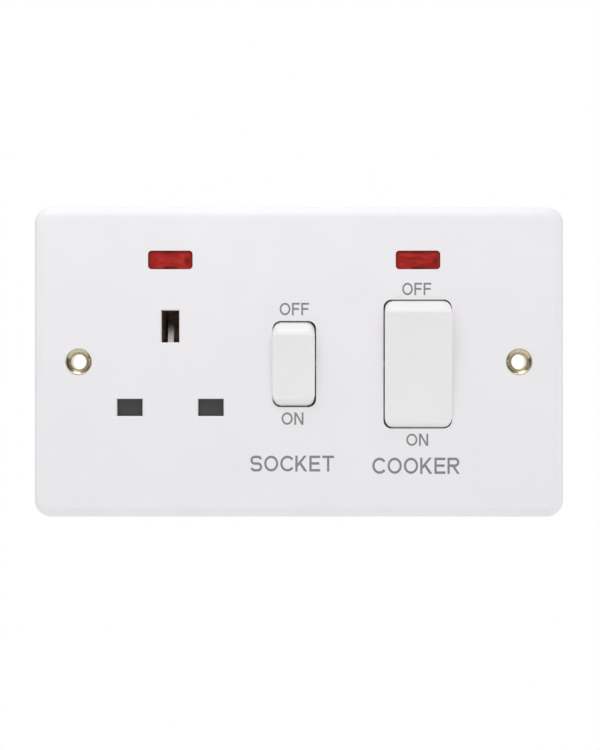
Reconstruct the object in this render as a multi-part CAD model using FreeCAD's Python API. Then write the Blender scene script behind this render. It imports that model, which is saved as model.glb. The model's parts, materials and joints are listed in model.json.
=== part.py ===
import FreeCAD, Part
import math
import os

os.makedirs("parts", exist_ok=True)

# Frame: X to the right, Z up, the front faces -Y, the wall plane is Y = 0.
# All sizes are in millimetres and degrees.

# Front plate
PLATE_W = 145.0
PLATE_H = 85.0
PLATE_DEPTH = 9.0
PLATE_WALL = 2.6
RIM_WALL = 2.6
PLATE_CORNER_R = 4.5
PLATE_EDGE_R = 3.0

# Fixing eyelets
EYELET_OFFSET = 7.3
EYELET_BORE_R = 2.1
EYELET_R = 3.65
EYELET_SINK = 0.3
EYELET_EDGE = 0.2
EYELET_BOSS_W = 9.8
EYELET_STAND = 0.6
RIB_T = 1.4
RIB_BACK = -2.0
RIB_ROOT = 0.5

# Socket outlet
PIN_PITCH = 22.2
PIN_Z = -12.5
EARTH_RISE = 22.2
PIN_HOLE_W = 7.0
PIN_HOLE_H = 4.7
PIN_HOLE_BREAK = 0.3
EARTH_HOLE_W = 4.9
EARTH_HOLE_H = 8.8

# Shutter and its deck
SHUTTER_GAP = 0.25
SHUTTER_T = 1.6
SHUTTER_W = 31.0
SHUTTER_BAR_H = 6.2
SHUTTER_TRAVEL = 5.5
SHUTTER_SIDE_GAP = 0.3
GUIDE_T = 1.2
STEM_W = 9.0
STEM_GAP = 0.6
CAM_W = 1.6
CAM_RISE = 5.4
CAM_TAIL = 5.0
CAM_SHOULDER = 2.0
CAM_LIFT = 0.1
CAM_ROOM = 1.0
COVER_GAP = 0.25
COVER_T = 1.5
COVER_SIDE_GAP = 0.3
COVER_HOLE_GAP = 0.2
COVER_TOP_Z = 19.0
COVER_END_GAP = 1.5
LUG_W = 4.0
LUG_H = 2.0
LUG_D = 1.5
LUG_GAP = 0.4
SEAT_W = 6.0
SEAT_T = 1.4
SEAT_SINK = 0.2
SEAT_GAP = 0.3
SHUTTER_SPRING_R = 1.2
SHUTTER_SPRING_L = 11.6
SHUTTER_SPRING_TURNS = 4
SPRING_WIRE = 0.5
SPRING_SIDES = 6
SPRING_SEAT = 0.15

# Rockers: the socket rocker is narrow, the cooker rocker is wide
ROCKER_Z = -0.6
PIVOT_DEPTH = 3.6
TRUNNION_R = 1.3
TRUNNION_GAP = 0.06
ROCKER_END_GAP = 0.15
ROCKER_SIDE_GAP = 0.2
ROCKER_FLOAT = 0.14
ROCKER_WALL = 1.6
ROCKER_FACE_T = 2.0
ROCKER_BACK = 2.0
ROCKER_CORNER_R = 2.3
ROCKER_CORNER_STEPS = 3
ROCKER_FLATS = 3
ROCKER_FLAT_ANGLE = 10.0
ROCKER_BEVEL_Y = 0.7
ROCKER_BEVEL_Z = 0.9
OPENING_CORNER_R = 2.2
COLLAR_T = 1.6
COLLAR_RELIEF = 0.6
COLLAR_BACK = -1.6
KEEPER_GAP = 0.1
KEEPER_W = 9.0
KEEPER_SIDE_GAP = 0.1
KEEPER_BACK_GAP = 0.2

SMALL_X = -1.25
SMALL_OPEN_W = 11.9
SMALL_OPEN_H = 23.6
SMALL_PROUD = 2.9
SMALL_SAG = 0.6
SMALL_TILT = 8.5

COOKER_X = 32.5
COOKER_OPEN_W = 18.7
COOKER_OPEN_H = 35.3
COOKER_PROUD = 3.2
COOKER_SAG = 0.9
COOKER_TILT = 9.0

# Switch poles: sprung plunger, see-saw contact arm, fixed contact
POLE_SPREAD = 5.6
BARREL_HALF = 2.9
PLUNGER_HALF = 1.7
PLUNGER_GAP = 0.1
PLUNGER_REACH = 12.0
PLUNGER_L = 5.0
PLUNGER_TIP_HALF = 0.7
PLUNGER_NOSE = 1.6
BARREL_END = 9.4
BARREL_FLOOR = 0.4
PLUNGER_SPRING_R = 1.2
PLUNGER_SPRING_TURNS = 3
TIP_TO_ARM = 0.15
ARM_T = 1.2
ARM_W = 6.0
ARM_HALF = 11.0
ARM_FRONT = 1.8
ARM_TILT = 5.0
ARM_PIVOT_R = 1.0
ARM_PIVOT_GAP = 0.06
CONTACT_Z = 9.4
CONTACT_HALF = 1.5
CONTACT_T = 0.9
CONTACT_GAP = 0.05
POST_T = 2.0

# Conductors
STRIP_T = 1.1
STRIP_W = 6.0
STRIP_END = 0.6
BAR_H = 4.0
LINE_BAR_Z = 15.0
NEUTRAL_BAR_Z = 15.8
SPACER_W = 4.0
CLIP_T = 0.8
CLIP_W = 6.0
CLIP_SIDE_GAP = 1.7
CLIP_THROAT = 3.4
CLIP_MOUTH = 6.4
CLIP_BODY = 5.0
CLIP_FRONT_GAP = 0.4
CLIP_LEAD_IN = 4.2
CLIP_NECK = 7.0
EARTH_CLIP_W = 8.0
EARTH_CLIP_MOUTH = 5.2
EARTH_PIN_L = 22.7
PIN_TIP_GAP = 0.6

# Terminals
BLOCK_W = 9.0
BLOCK_D = 10.0
BLOCK_BAR_GAP = 0.7
WIREWAY = 6.4
EARTH_WIREWAY = 5.2
WIREWAY_WEB = 0.6
SCREW_R = 2.2
SCREW_STAND = 1.2
SCREW_TIP_GAP = 0.4
TERMINAL_OFFSET = 1.9

# Neon indicators
COOKER_NEON_X = 32.6
LENS_W = 12.2
LENS_H = 5.1
LENS_R = 1.0
LENS_GAP = 0.1
LENS_SINK = 0.3
LENS_WALL = 1.3
LENS_FLANGE = 1.4
LENS_FLANGE_T = 1.0
LAMP_R = 2.0
LAMP_L = 9.0
LAMP_GAP = 0.2
LAMP_SIDE_GAP = 1.6
LEAD_T = 0.6
LEAD_PITCH = 1.4
LEAD_L = 3.0
RESISTOR_R = 1.2
RESISTOR_L = 6.6
CRADLE_T = 1.2
CRADLE_SPREAD = 2.6
CRADLE_GAP = 0.05
CRADLE_DROP = 3.0
CRADLE_BACK = 2.4

# Rear housing
HOUSING_W = 106.0
HOUSING_H = 67.0
HOUSING_FRONT = -3.0
HOUSING_WALL = 2.0
HOUSING_CORNER_R = 3.0
FLOOR_GAP = 0.2
TOWER_WALL = 1.6
TOWER_GAP = 0.2
TOWER_LIP = 0.4
PARTITION_X = -15.0
PARTITION_T = 1.6
BAR_CLEAR = 0.4
REST_W = 2.4
REST_H = 2.0
REST_INSET = 4.0
BARRIER_T = 1.4
BARRIER_FRONT = 3.0
BARRIER_LOW = -20.0
BARRIER_GAP = 1.0
HOOK_Z = 20.0
HOOK_W = 7.0
HOOK_T = 1.6
HOOK_GAP = 0.2
HOOK_NIB = 0.8
HOOK_END = 0.8
LEDGE_T = 1.2
LEDGE_D = 2.0
LEDGE_GAP = 0.1

# Derived planes, front to back
FRONT = -PLATE_DEPTH
INNER = FRONT + PLATE_WALL
SHUTTER_Y0 = INNER + SHUTTER_GAP
SHUTTER_Y1 = SHUTTER_Y0 + SHUTTER_T
COVER_Y0 = SHUTTER_Y1 + COVER_GAP
COVER_Y1 = COVER_Y0 + COVER_T
PIVOT_Y = FRONT + PIVOT_DEPTH
ARM_AXIS_Y = PIVOT_Y + PLUNGER_REACH + TIP_TO_ARM + ARM_FRONT
FIXING_PITCH = HOUSING_W + 2 * EYELET_OFFSET
NEUTRAL_X = CLIP_SIDE_GAP + CLIP_W / 2 + HOUSING_WALL - HOUSING_W / 2
LINE_X = NEUTRAL_X + PIN_PITCH
SOCKET_X = NEUTRAL_X + PIN_PITCH / 2
EARTH_Z = PIN_Z + EARTH_RISE
BLOCK_END_Z = HOUSING_H / 2 - HOUSING_WALL
BLOCK_L = BLOCK_END_Z - NEUTRAL_BAR_Z - BAR_H - BLOCK_BAR_GAP
NEON_Z = BLOCK_END_Z - LAMP_SIDE_GAP - LAMP_R
COVER_BOTTOM_Z = COVER_END_GAP - BLOCK_END_Z


def contact_face():
    """Y of the fixed tip's face, just behind the moving tip when the switch is on."""
    tilt = math.radians(ARM_TILT)
    back = ARM_T - ARM_FRONT + CONTACT_T
    reach = CONTACT_Z + CONTACT_HALF
    return ARM_AXIS_Y + back * math.cos(tilt) + reach * math.sin(tilt) + CONTACT_GAP


STRIP_Y0 = contact_face() + CONTACT_T
STRIP_Y1 = STRIP_Y0 + STRIP_T
BAR_Y0 = FRONT + EARTH_PIN_L + PIN_TIP_GAP + CLIP_T
BAR_Y1 = BAR_Y0 + STRIP_T
FLOOR_Y0 = BAR_Y1 + FLOOR_GAP
FLOOR_Y1 = FLOOR_Y0 + HOUSING_WALL
LAMP_Y = INNER + LENS_FLANGE_T + LAMP_GAP + LAMP_R
RESISTOR_Y = LAMP_Y + LAMP_R + LAMP_GAP + RESISTOR_R
POLES = {
    "socket": (SMALL_X, SMALL_TILT),
    "cooker_line": (COOKER_X - POLE_SPREAD, COOKER_TILT),
    "cooker_neutral": (COOKER_X + POLE_SPREAD, COOKER_TILT),
}
TERMINAL_X = {
    "line": COOKER_X - POLE_SPREAD - TERMINAL_OFFSET,
    "neutral": COOKER_X + POLE_SPREAD + TERMINAL_OFFSET,
}
HOOKS = [(side, rise * HOOK_Z) for side in (-1, 1) for rise in (-1, 1)]


def vec(x, y, z):
    return FreeCAD.Vector(x, y, z)


def box(x0, x1, y0, y1, z0, z1):
    return Part.makeBox(x1 - x0, y1 - y0, z1 - z0, vec(x0, y0, z0))


def upright(x, w, y0, y1, z0, z1):
    """Block centred on x."""
    return box(x - w / 2, x + w / 2, y0, y1, z0, z1)


def between(xa, xb, y0, y1, z0, z1):
    """Block whose two X faces come in either order."""
    return box(min(xa, xb), max(xa, xb), y0, y1, z0, z1)


def rod(axis, r, start, end, a, b):
    """Cylinder along X, Y or Z; a and b are its two other coordinates in XYZ order."""
    base = {"x": vec(start, a, b), "y": vec(a, start, b), "z": vec(a, b, start)}[axis]
    along = {"x": vec(1, 0, 0), "y": vec(0, 1, 0), "z": vec(0, 0, 1)}[axis]
    return Part.makeCylinder(r, end - start, base, along)


def rounded(cx, cz, w, h, r, y0, y1):
    """Block with rounded corners in the XZ plane, running from y0 to y1."""
    block = box(cx - w / 2, cx + w / 2, y0, y1, cz - h / 2, cz + h / 2)
    along_y = [e for e in block.Edges if abs(e.tangentAt(e.FirstParameter).y) > 0.99]
    return block.makeFillet(r, along_y)


def fuse(first, *others):
    return first.fuse(list(others)).removeSplitter() if others else first


def turned(points, x, z):
    """Solid of revolution about the Y axis through (x, z) from (radius, y) points."""
    ring = [vec(r, y, 0) for r, y in points]
    face = Part.Face(Part.makePolygon(ring + ring[:1]))
    solid = face.revolve(vec(0, 0, 0), vec(0, 1, 0), 360)
    solid.translate(vec(x, 0, z))
    return solid


def prism_x(points, x0, x1):
    """Prism along X from (y, z) points."""
    ring = [vec(x0, y, z) for y, z in points]
    return Part.Face(Part.makePolygon(ring + ring[:1])).extrude(vec(x1 - x0, 0, 0))


def edges_on_front(shape, boxes):
    """Edges of the front face that lie inside one of the given XZ boxes."""
    found = []
    for edge in shape.Edges:
        b = edge.BoundBox
        flat = abs(b.YMin - FRONT) < 1e-6 and abs(b.YMax - FRONT) < 1e-6
        inside = any(b.XMin > x0 and b.XMax < x1 and b.ZMin > z0 and b.ZMax < z1 for x0, x1, z0, z1 in boxes)
        if flat and inside:
            found.append(edge)
    return found


def tilt(shape, y, z, degrees):
    """Turn a shape about the X direction through (y, z)."""
    shape.rotate(vec(0, y, z), vec(1, 0, 0), degrees)
    return shape


def coil(r, length, turns, base, along):
    """Square-wire compression spring standing on base, bent in short straight steps."""
    half = SPRING_WIRE / 2
    steps = turns * SPRING_SIDES
    points = []
    for i in range(steps + 1):
        angle = 2 * math.pi * i / SPRING_SIDES
        rise = half + (length - SPRING_WIRE) * i / steps
        points.append(vec(r * math.cos(angle), r * math.sin(angle), rise))
    inner = r - half
    outer = r + half
    corners = [vec(inner, 0, 0), vec(outer, 0, 0), vec(outer, 0, SPRING_WIRE), vec(inner, 0, SPRING_WIRE)]
    section = Part.makePolygon(corners + corners[:1])
    spring = Part.makePolygon(points).makePipeShell([section], True, False, 1)
    spring.Placement = FreeCAD.Placement(base, FreeCAD.Rotation(vec(0, 0, 1), along))
    return spring


# Front plate

def rocker_openings():
    return [
        (SMALL_X, SMALL_OPEN_W, SMALL_OPEN_H),
        (COOKER_X, COOKER_OPEN_W, COOKER_OPEN_H),
    ]


def pin_places():
    """Centre and size of the line, neutral and earth pin holes."""
    return [
        (LINE_X, PIN_Z, PIN_HOLE_W, PIN_HOLE_H),
        (NEUTRAL_X, PIN_Z, PIN_HOLE_W, PIN_HOLE_H),
        (SOCKET_X, EARTH_Z, EARTH_HOLE_W, EARTH_HOLE_H),
    ]


def plate_shell():
    shell = rounded(0, 0, PLATE_W, PLATE_H, PLATE_CORNER_R, FRONT, 0)
    whole = (-PLATE_W, PLATE_W, -PLATE_H, PLATE_H)
    shell = shell.makeFillet(PLATE_EDGE_R, edges_on_front(shell, [whole]))
    half_h = PLATE_H / 2 - RIM_WALL
    return shell.cut(upright(0, PLATE_W - 2 * RIM_WALL, INNER, 1, -half_h, half_h))


def hook(side, z):
    """Snap hook: a step that the housing's rim sits on and a nib behind the housing's ledge."""
    wall = HOUSING_W / 2
    post = wall + LEDGE_T + HOOK_GAP
    root = INNER - RIB_ROOT
    low = z - HOOK_W / 2
    high = z + HOOK_W / 2
    step = between(side * (wall - HOUSING_WALL), side * post, root, HOUSING_FRONT, low, high)
    bar = between(side * post, side * (post + HOOK_T), root, HOOK_END, low, high)
    nib_y = HOUSING_FRONT + LEDGE_D + LEDGE_GAP
    nib = between(side * (post - HOOK_NIB), side * post, nib_y, HOOK_END, low, high)
    return fuse(step, bar, nib)


def shutter_guides():
    """Rails beside the shutter and the seat under its spring."""
    root = INNER - RIB_ROOT
    guide = SHUTTER_W / 2 + SHUTTER_SIDE_GAP
    low = PIN_Z - SHUTTER_BAR_H / 2 - SHUTTER_TRAVEL
    high = PIN_Z + SHUTTER_BAR_H / 2
    rails = []
    for side in (-1, 1):
        start = SOCKET_X + side * guide
        rails.append(between(start, start + side * GUIDE_T, root, COVER_Y0, low, high))
    seat = spring_top_z() - SHUTTER_SPRING_L
    rails.append(upright(SOCKET_X, SEAT_W, root, COVER_Y1 - SEAT_SINK, seat - SEAT_T, seat))
    return rails


def plate_ribs():
    """Everything that stands on the back of the plate's front wall."""
    root = INNER - RIB_ROOT
    ribs = [hook(side, z) for side, z in HOOKS] + shutter_guides()
    boss = EYELET_BOSS_W / 2
    for side in (-1, 1):
        x = side * FIXING_PITCH / 2
        ribs.append(upright(x, EYELET_BOSS_W, root, -EYELET_STAND, -boss, boss))
        rim_x = side * (PLATE_W / 2 - RIM_WALL / 2)
        ribs.append(between(x, rim_x, root, RIB_BACK, -RIB_T / 2, RIB_T / 2))
    for x, w, h in rocker_openings():
        half = h / 2 + COLLAR_RELIEF + COLLAR_T
        ribs.append(upright(x, w + 2 * COLLAR_T, root, COLLAR_BACK, ROCKER_Z - half, ROCKER_Z + half))
    return ribs


def plate_cutters():
    cutters = [upright(x, w, FRONT - 1, 0, z - h / 2, z + h / 2) for x, z, w, h in pin_places()]
    for x in (SOCKET_X, COOKER_NEON_X):
        cutters.append(rounded(x, NEON_Z, LENS_W, LENS_H, LENS_R, FRONT - 1, 0))
    for x, w, h in rocker_openings():
        cutters.append(rounded(x, ROCKER_Z, w, h, OPENING_CORNER_R, FRONT - 1, 1))
        relief = h / 2 + COLLAR_RELIEF
        cutters.append(box(x - w / 2, x + w / 2, INNER, 1, ROCKER_Z - relief, ROCKER_Z + relief))
        slot_r = TRUNNION_R + TRUNNION_GAP
        reach = w / 2 + COLLAR_T + 1
        slot = rod("x", slot_r, x - reach, x + reach, PIVOT_Y, ROCKER_Z)
        mouth = box(x - reach, x + reach, PIVOT_Y, 1, ROCKER_Z - slot_r, ROCKER_Z + slot_r)
        cutters += [slot, mouth]
    for side in (-1, 1):
        x = side * FIXING_PITCH / 2
        cutters.append(rod("y", EYELET_R, FRONT - 1, 1, x, 0))
    return cutters


def front_plate():
    plate = fuse(plate_shell(), *plate_ribs())
    plate = plate.cut(plate_cutters())
    reach = PIN_PITCH / 2 + PIN_HOLE_W / 2 + 1
    top = EARTH_Z + EARTH_HOLE_H / 2 + 1
    pins = (SOCKET_X - reach, SOCKET_X + reach, PIN_Z - PIN_HOLE_H, top)
    return plate.makeChamfer(PIN_HOLE_BREAK, edges_on_front(plate, [pins]))


def eyelet(side):
    """Turned brass bush with a countersink for the fixing screw."""
    top = FRONT + EYELET_SINK
    sink_r = EYELET_R - EYELET_EDGE
    outline = [
        (EYELET_BORE_R, top + sink_r - EYELET_BORE_R),
        (sink_r, top),
        (EYELET_R, top),
        (EYELET_R, 0),
        (EYELET_BORE_R, 0),
    ]
    return turned(outline, side * FIXING_PITCH / 2, 0)


# Shutter, cam and deck

def spring_top_z():
    return PIN_Z - SHUTTER_BAR_H / 2


def earth_floor_z():
    return EARTH_Z - EARTH_HOLE_H / 2


def shutter():
    bar_top = PIN_Z + SHUTTER_BAR_H / 2
    bar = upright(SOCKET_X, SHUTTER_W, SHUTTER_Y0, SHUTTER_Y1, spring_top_z(), bar_top)
    stem_top = earth_floor_z() - STEM_GAP
    stem = upright(SOCKET_X, STEM_W, SHUTTER_Y0, SHUTTER_Y1, bar_top, stem_top)
    low = spring_top_z()
    lug = upright(SOCKET_X, LUG_W, SHUTTER_Y1, SHUTTER_Y1 + LUG_D, low, low + LUG_H)
    slot = upright(SOCKET_X, CAM_W, SHUTTER_Y0 - 1, SHUTTER_Y1 + 1, stem_top - CAM_TAIL, stem_top + 1)
    return fuse(bar, stem, lug).cut(slot)


def shutter_cam():
    """Rib across the earth hole; a pin pushing on its slope drives the shutter down."""
    stem_top = earth_floor_z() - STEM_GAP
    tail = stem_top - CAM_TAIL
    nose = earth_floor_z() + CAM_LIFT
    outline = [
        (SHUTTER_Y0, tail),
        (SHUTTER_Y1, tail),
        (SHUTTER_Y1, nose),
        (SHUTTER_Y0 + CAM_RISE, nose + CAM_RISE - CAM_SHOULDER),
        (SHUTTER_Y0 + CAM_RISE, nose + CAM_RISE),
        (SHUTTER_Y0, nose),
    ]
    return prism_x(outline, SOCKET_X - CAM_W / 2, SOCKET_X + CAM_W / 2)


def shutter_spring():
    y = SHUTTER_Y1 + LUG_D - SHUTTER_SPRING_R - SPRING_WIRE
    base = vec(SOCKET_X, y, spring_top_z() - SHUTTER_SPRING_L + SPRING_SEAT)
    length = SHUTTER_SPRING_L - 2 * SPRING_SEAT
    return coil(SHUTTER_SPRING_R, length, SHUTTER_SPRING_TURNS, base, vec(0, 0, 1))


def contact_cover():
    """Deck behind the shutter, over the socket's clips."""
    left = -HOUSING_W / 2 + HOUSING_WALL + COVER_SIDE_GAP
    front = COVER_Y0 - 1
    back = COVER_Y1 + 1
    deck = box(left, PARTITION_X + PARTITION_T / 2, COVER_Y0, COVER_Y1, COVER_BOTTOM_Z, COVER_TOP_Z)
    cam_low = earth_floor_z() - SHUTTER_TRAVEL - CAM_ROOM
    seat_low = spring_top_z() - SHUTTER_SPRING_L - SEAT_T - SEAT_GAP
    seat_high = spring_top_z() - SHUTTER_SPRING_L + SEAT_GAP
    lug_high = spring_top_z() + LUG_H + LUG_GAP
    cutters = [
        upright(SOCKET_X, 2 * CAM_W, front, back, cam_low, EARTH_Z),
        upright(SOCKET_X, LUG_W + 2 * LUG_GAP, front, back, seat_low, lug_high),
        upright(SOCKET_X, SEAT_W + 2 * SEAT_GAP, front, back, seat_low, seat_high),
    ]
    for x, z, w, h in pin_places():
        half_h = h / 2 + COVER_HOLE_GAP
        cutters.append(upright(x, w + 2 * COVER_HOLE_GAP, front, back, z - half_h, z + half_h))
    return deck.cut(cutters)


# Rockers

def rocker_radius(open_h):
    """Radius of the end walls about the pivot; the gap is tightest at the back of the plate's wall."""
    return math.hypot(open_h / 2 - ROCKER_END_GAP, PIVOT_Y - INNER)


def rocker_profile(r, proud, sag, back, half_w, spare):
    """Bar along X: hollowed face in front, bevelled ends, spare length beyond the end walls' radius."""
    front = -(PIVOT_DEPTH + proud)
    z_front = math.sqrt(r * r - front * front)
    face_r = (z_front * z_front + sag * sag) / (2 * sag)
    y_end = front + ROCKER_BEVEL_Y
    z_end = math.sqrt(r * r - y_end * y_end)
    z_face = z_front - ROCKER_BEVEL_Z
    y_face = front + sag - face_r + math.sqrt(face_r * face_r - z_face * z_face)
    y_out = y_end + spare * (y_end - y_face) / (z_end - z_face)
    z_back = math.sqrt(r * r - back * back)
    end = [(y_face, z_face), (y_out, z_end + spare), (back, z_back + spare)]
    outline = [(y, -z) for y, z in end] + end[::-1]
    ring = [vec(-half_w, y, z) for y, z in outline]
    edges = [Part.LineSegment(a, b).toShape() for a, b in zip(ring, ring[1:])]
    edges.append(Part.Arc(ring[-1], vec(-half_w, front + sag, 0), ring[0]).toShape())
    return Part.Face(Part.Wire(edges)).extrude(vec(2 * half_w, 0, 0))


def rocker_slab(r, w):
    """Slab as long and wide as the rocker, its corners rounded in short flats."""
    x = w / 2 - ROCKER_CORNER_R
    z = r * math.cos(math.radians(ROCKER_FLAT_ANGLE / 2)) - ROCKER_CORNER_R
    turns = [math.pi / 2 * i / ROCKER_CORNER_STEPS for i in range(ROCKER_CORNER_STEPS + 1)]
    corner = [(x + ROCKER_CORNER_R * math.cos(a), z + ROCKER_CORNER_R * math.sin(a)) for a in turns]
    right = [(cx, -cz) for cx, cz in reversed(corner)] + corner
    outline = right + [(-cx, -cz) for cx, cz in right]
    ring = [vec(cx, -2 * r, cz) for cx, cz in outline]
    return Part.Face(Part.makePolygon(ring + ring[:1])).extrude(vec(0, 4 * r, 0))


def rocker_shell(w, open_h, proud, sag):
    """Shell with end walls in narrow flats about the pivot, its corners clear of the plate at every angle."""
    r = rocker_radius(open_h)
    bar = rocker_profile(r, proud, sag, ROCKER_BACK, w / 2, ROCKER_WALL)
    for i in range(-ROCKER_FLATS, ROCKER_FLATS + 1):
        bar = bar.common(tilt(rocker_slab(r, w), 0, 0, i * ROCKER_FLAT_ANGLE))
    half_w = w / 2 - ROCKER_WALL
    return bar.cut(rocker_profile(r - ROCKER_WALL, proud - ROCKER_FACE_T, sag, ROCKER_BACK + 1, half_w, 0))


def rocker(x, w, open_h, proud, sag, degrees, barrels, shift):
    """Rocker in its on position, its axis at the pivot."""
    shell = rocker_shell(w, open_h, proud, sag)
    solids = []
    for side in (-1, 1):
        start = side * (w / 2 - ROCKER_WALL / 2)
        end = side * (w / 2 + ROCKER_SIDE_GAP + COLLAR_T) - shift
        solids.append(rod("x", TRUNNION_R, min(start, end), max(start, end), 0, 0))
    top = -(PIVOT_DEPTH + proud - sag - ROCKER_FACE_T / 2)
    for offset in barrels:
        solids.append(upright(offset - shift, 2 * BARREL_HALF, top, BARREL_END, -BARREL_HALF, BARREL_HALF))
    body = fuse(shell, *solids)
    bore = PLUNGER_HALF + PLUNGER_GAP
    for offset in barrels:
        body = body.cut(upright(offset - shift, 2 * bore, BARREL_FLOOR, BARREL_END + 1, -bore, bore))
    body.translate(vec(x + shift, PIVOT_Y, ROCKER_Z))
    return tilt(body, PIVOT_Y, ROCKER_Z, degrees)


def socket_rocker():
    w = SMALL_OPEN_W - 2 * ROCKER_SIDE_GAP
    return rocker(SMALL_X, w, SMALL_OPEN_H, SMALL_PROUD, SMALL_SAG, SMALL_TILT, [0], -ROCKER_FLOAT)


def cooker_rocker():
    w = COOKER_OPEN_W - 2 * ROCKER_SIDE_GAP
    spread = [-POLE_SPREAD, POLE_SPREAD]
    return rocker(COOKER_X, w, COOKER_OPEN_H, COOKER_PROUD, COOKER_SAG, COOKER_TILT, spread, ROCKER_FLOAT)


# Switch poles

def plunger(x, degrees):
    """Square plunger with a wedge nose that slides along the contact arm."""
    end = PIVOT_Y + PLUNGER_REACH
    shoulder = end - PLUNGER_NOSE
    start = shoulder - PLUNGER_L
    half = [(start, PLUNGER_HALF), (shoulder, PLUNGER_HALF), (end, PLUNGER_TIP_HALF)]
    outline = half + [(y, -z) for y, z in reversed(half)]
    outline = [(y, z + ROCKER_Z) for y, z in outline]
    return tilt(prism_x(outline, x - PLUNGER_HALF, x + PLUNGER_HALF), PIVOT_Y, ROCKER_Z, degrees)


def plunger_spring(x, degrees):
    start = PIVOT_Y + BARREL_FLOOR + SPRING_SEAT
    length = PLUNGER_REACH - PLUNGER_NOSE - PLUNGER_L - BARREL_FLOOR - 2 * SPRING_SEAT
    spring = coil(PLUNGER_SPRING_R, length, PLUNGER_SPRING_TURNS, vec(x, start, ROCKER_Z), vec(0, 1, 0))
    return tilt(spring, PIVOT_Y, ROCKER_Z, degrees)


def contact_arm(x):
    front = ARM_AXIS_Y - ARM_FRONT
    arm = box(x - ARM_W / 2, x + ARM_W / 2, front, front + ARM_T, ROCKER_Z - ARM_HALF, ROCKER_Z + ARM_HALF)
    groove = rod("x", ARM_PIVOT_R + ARM_PIVOT_GAP, x - ARM_W, x + ARM_W, ARM_AXIS_Y, ROCKER_Z)
    return tilt(arm.cut(groove), ARM_AXIS_Y, ROCKER_Z, -ARM_TILT)


def moving_tip(x):
    back = ARM_AXIS_Y - ARM_FRONT + ARM_T
    z = ROCKER_Z + CONTACT_Z
    tip = upright(x, 2 * CONTACT_HALF, back, back + CONTACT_T, z - CONTACT_HALF, z + CONTACT_HALF)
    return tilt(tip, ARM_AXIS_Y, ROCKER_Z, -ARM_TILT)


def fixed_tip(x):
    z = ROCKER_Z + CONTACT_Z
    return upright(x, 2 * CONTACT_HALF, contact_face(), STRIP_Y0, z - CONTACT_HALF, z + CONTACT_HALF)


def pivot_post(x, base_y):
    """Round-nosed post that the contact arm rocks on."""
    half = ARM_W / 2
    web = box(x - half, x + half, ARM_AXIS_Y, base_y, ROCKER_Z - POST_T / 2, ROCKER_Z + POST_T / 2)
    return fuse(web, rod("x", ARM_PIVOT_R, x - half, x + half, ARM_AXIS_Y, ROCKER_Z))


# Conductors

def feed_strip(pole_x, terminal_x):
    """Flat strip from the fixed contact up to the feed terminal."""
    low = ROCKER_Z + CONTACT_Z - CONTACT_HALF - STRIP_END
    leg = upright(pole_x, STRIP_W, STRIP_Y0, STRIP_Y1, low, BLOCK_END_Z)
    pad = upright(terminal_x, BLOCK_W, STRIP_Y0, STRIP_Y1, BLOCK_END_Z - BLOCK_L, BLOCK_END_Z)
    return fuse(leg, pad)


def line_busbar():
    x = POLES["cooker_line"][0]
    left = SMALL_X - STRIP_W / 2
    low = ROCKER_Z + CONTACT_Z - CONTACT_HALF - STRIP_END
    arm = box(left, x, STRIP_Y0, STRIP_Y1, LINE_BAR_Z, LINE_BAR_Z + BAR_H)
    tab = upright(SMALL_X, STRIP_W, STRIP_Y0, STRIP_Y1, low, LINE_BAR_Z + BAR_H)
    return fuse(feed_strip(x, TERMINAL_X["line"]), arm, tab)


def neutral_feed():
    return feed_strip(POLES["cooker_neutral"][0], TERMINAL_X["neutral"])


def neutral_link_bar():
    """Bar behind the line busbar that takes neutral across to the socket."""
    feed_x = POLES["cooker_neutral"][0]
    z1 = NEUTRAL_BAR_Z + BAR_H
    bar = box(NEUTRAL_X - CLIP_W / 2, feed_x + SPACER_W / 2, BAR_Y0, BAR_Y1, NEUTRAL_BAR_Z, z1)
    drop = upright(NEUTRAL_X, CLIP_W, BAR_Y0, BAR_Y1, PIN_Z - CLIP_BODY / 2, z1)
    spacer = upright(feed_x, SPACER_W, STRIP_Y1, BAR_Y0, NEUTRAL_BAR_Z, z1)
    return fuse(bar, drop, spacer)


def load_strip(pole):
    x = POLES["cooker_" + pole][0]
    leg = upright(x, STRIP_W, STRIP_Y0, STRIP_Y1, -BLOCK_END_Z, ROCKER_Z + POST_T / 2)
    pad = upright(TERMINAL_X[pole], BLOCK_W, STRIP_Y0, STRIP_Y1, -BLOCK_END_Z, BLOCK_L - BLOCK_END_Z)
    return fuse(leg, pad, pivot_post(x, STRIP_Y0 + STRIP_T / 2))


def socket_line_bar():
    """Bar from the line clip to the post of the socket switch."""
    low = PIN_Z - CLIP_BODY / 2
    bar = box(LINE_X - CLIP_W / 2, SMALL_X + STRIP_W / 2, BAR_Y0, BAR_Y1, low, low + BAR_H)
    tab = upright(SMALL_X, STRIP_W, BAR_Y0, BAR_Y1, low, ROCKER_Z + POST_T / 2)
    return fuse(bar, tab, pivot_post(SMALL_X, BAR_Y0 + STRIP_T / 2))


def earth_strip():
    pad_low = -BLOCK_END_Z
    strip = upright(SOCKET_X, STRIP_W, BAR_Y0, BAR_Y1, pad_low, EARTH_Z + EARTH_CLIP_W / 2)
    pad = upright(SOCKET_X, BLOCK_W, BAR_Y0, BAR_Y1, pad_low, pad_low + BLOCK_L)
    return fuse(strip, pad)


def clip(mouth, width, start):
    """Folded spring clip that opens towards the front; its leaves face each other along Z."""
    back = BAR_Y0
    t = CLIP_T
    half = [
        (start, mouth / 2),
        (start + CLIP_LEAD_IN, CLIP_THROAT / 2),
        (start + CLIP_NECK, CLIP_BODY / 2 - t),
        (back - t, CLIP_BODY / 2 - t),
    ]
    outer = [(y, z + t) for y, z in half[:-1]] + [(back, CLIP_BODY / 2)]
    inner_ring = half + [(y, -z) for y, z in reversed(half)]
    outer_ring = outer + [(y, -z) for y, z in reversed(outer)]
    return prism_x(inner_ring[::-1] + outer_ring, -width / 2, width / 2)


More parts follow.
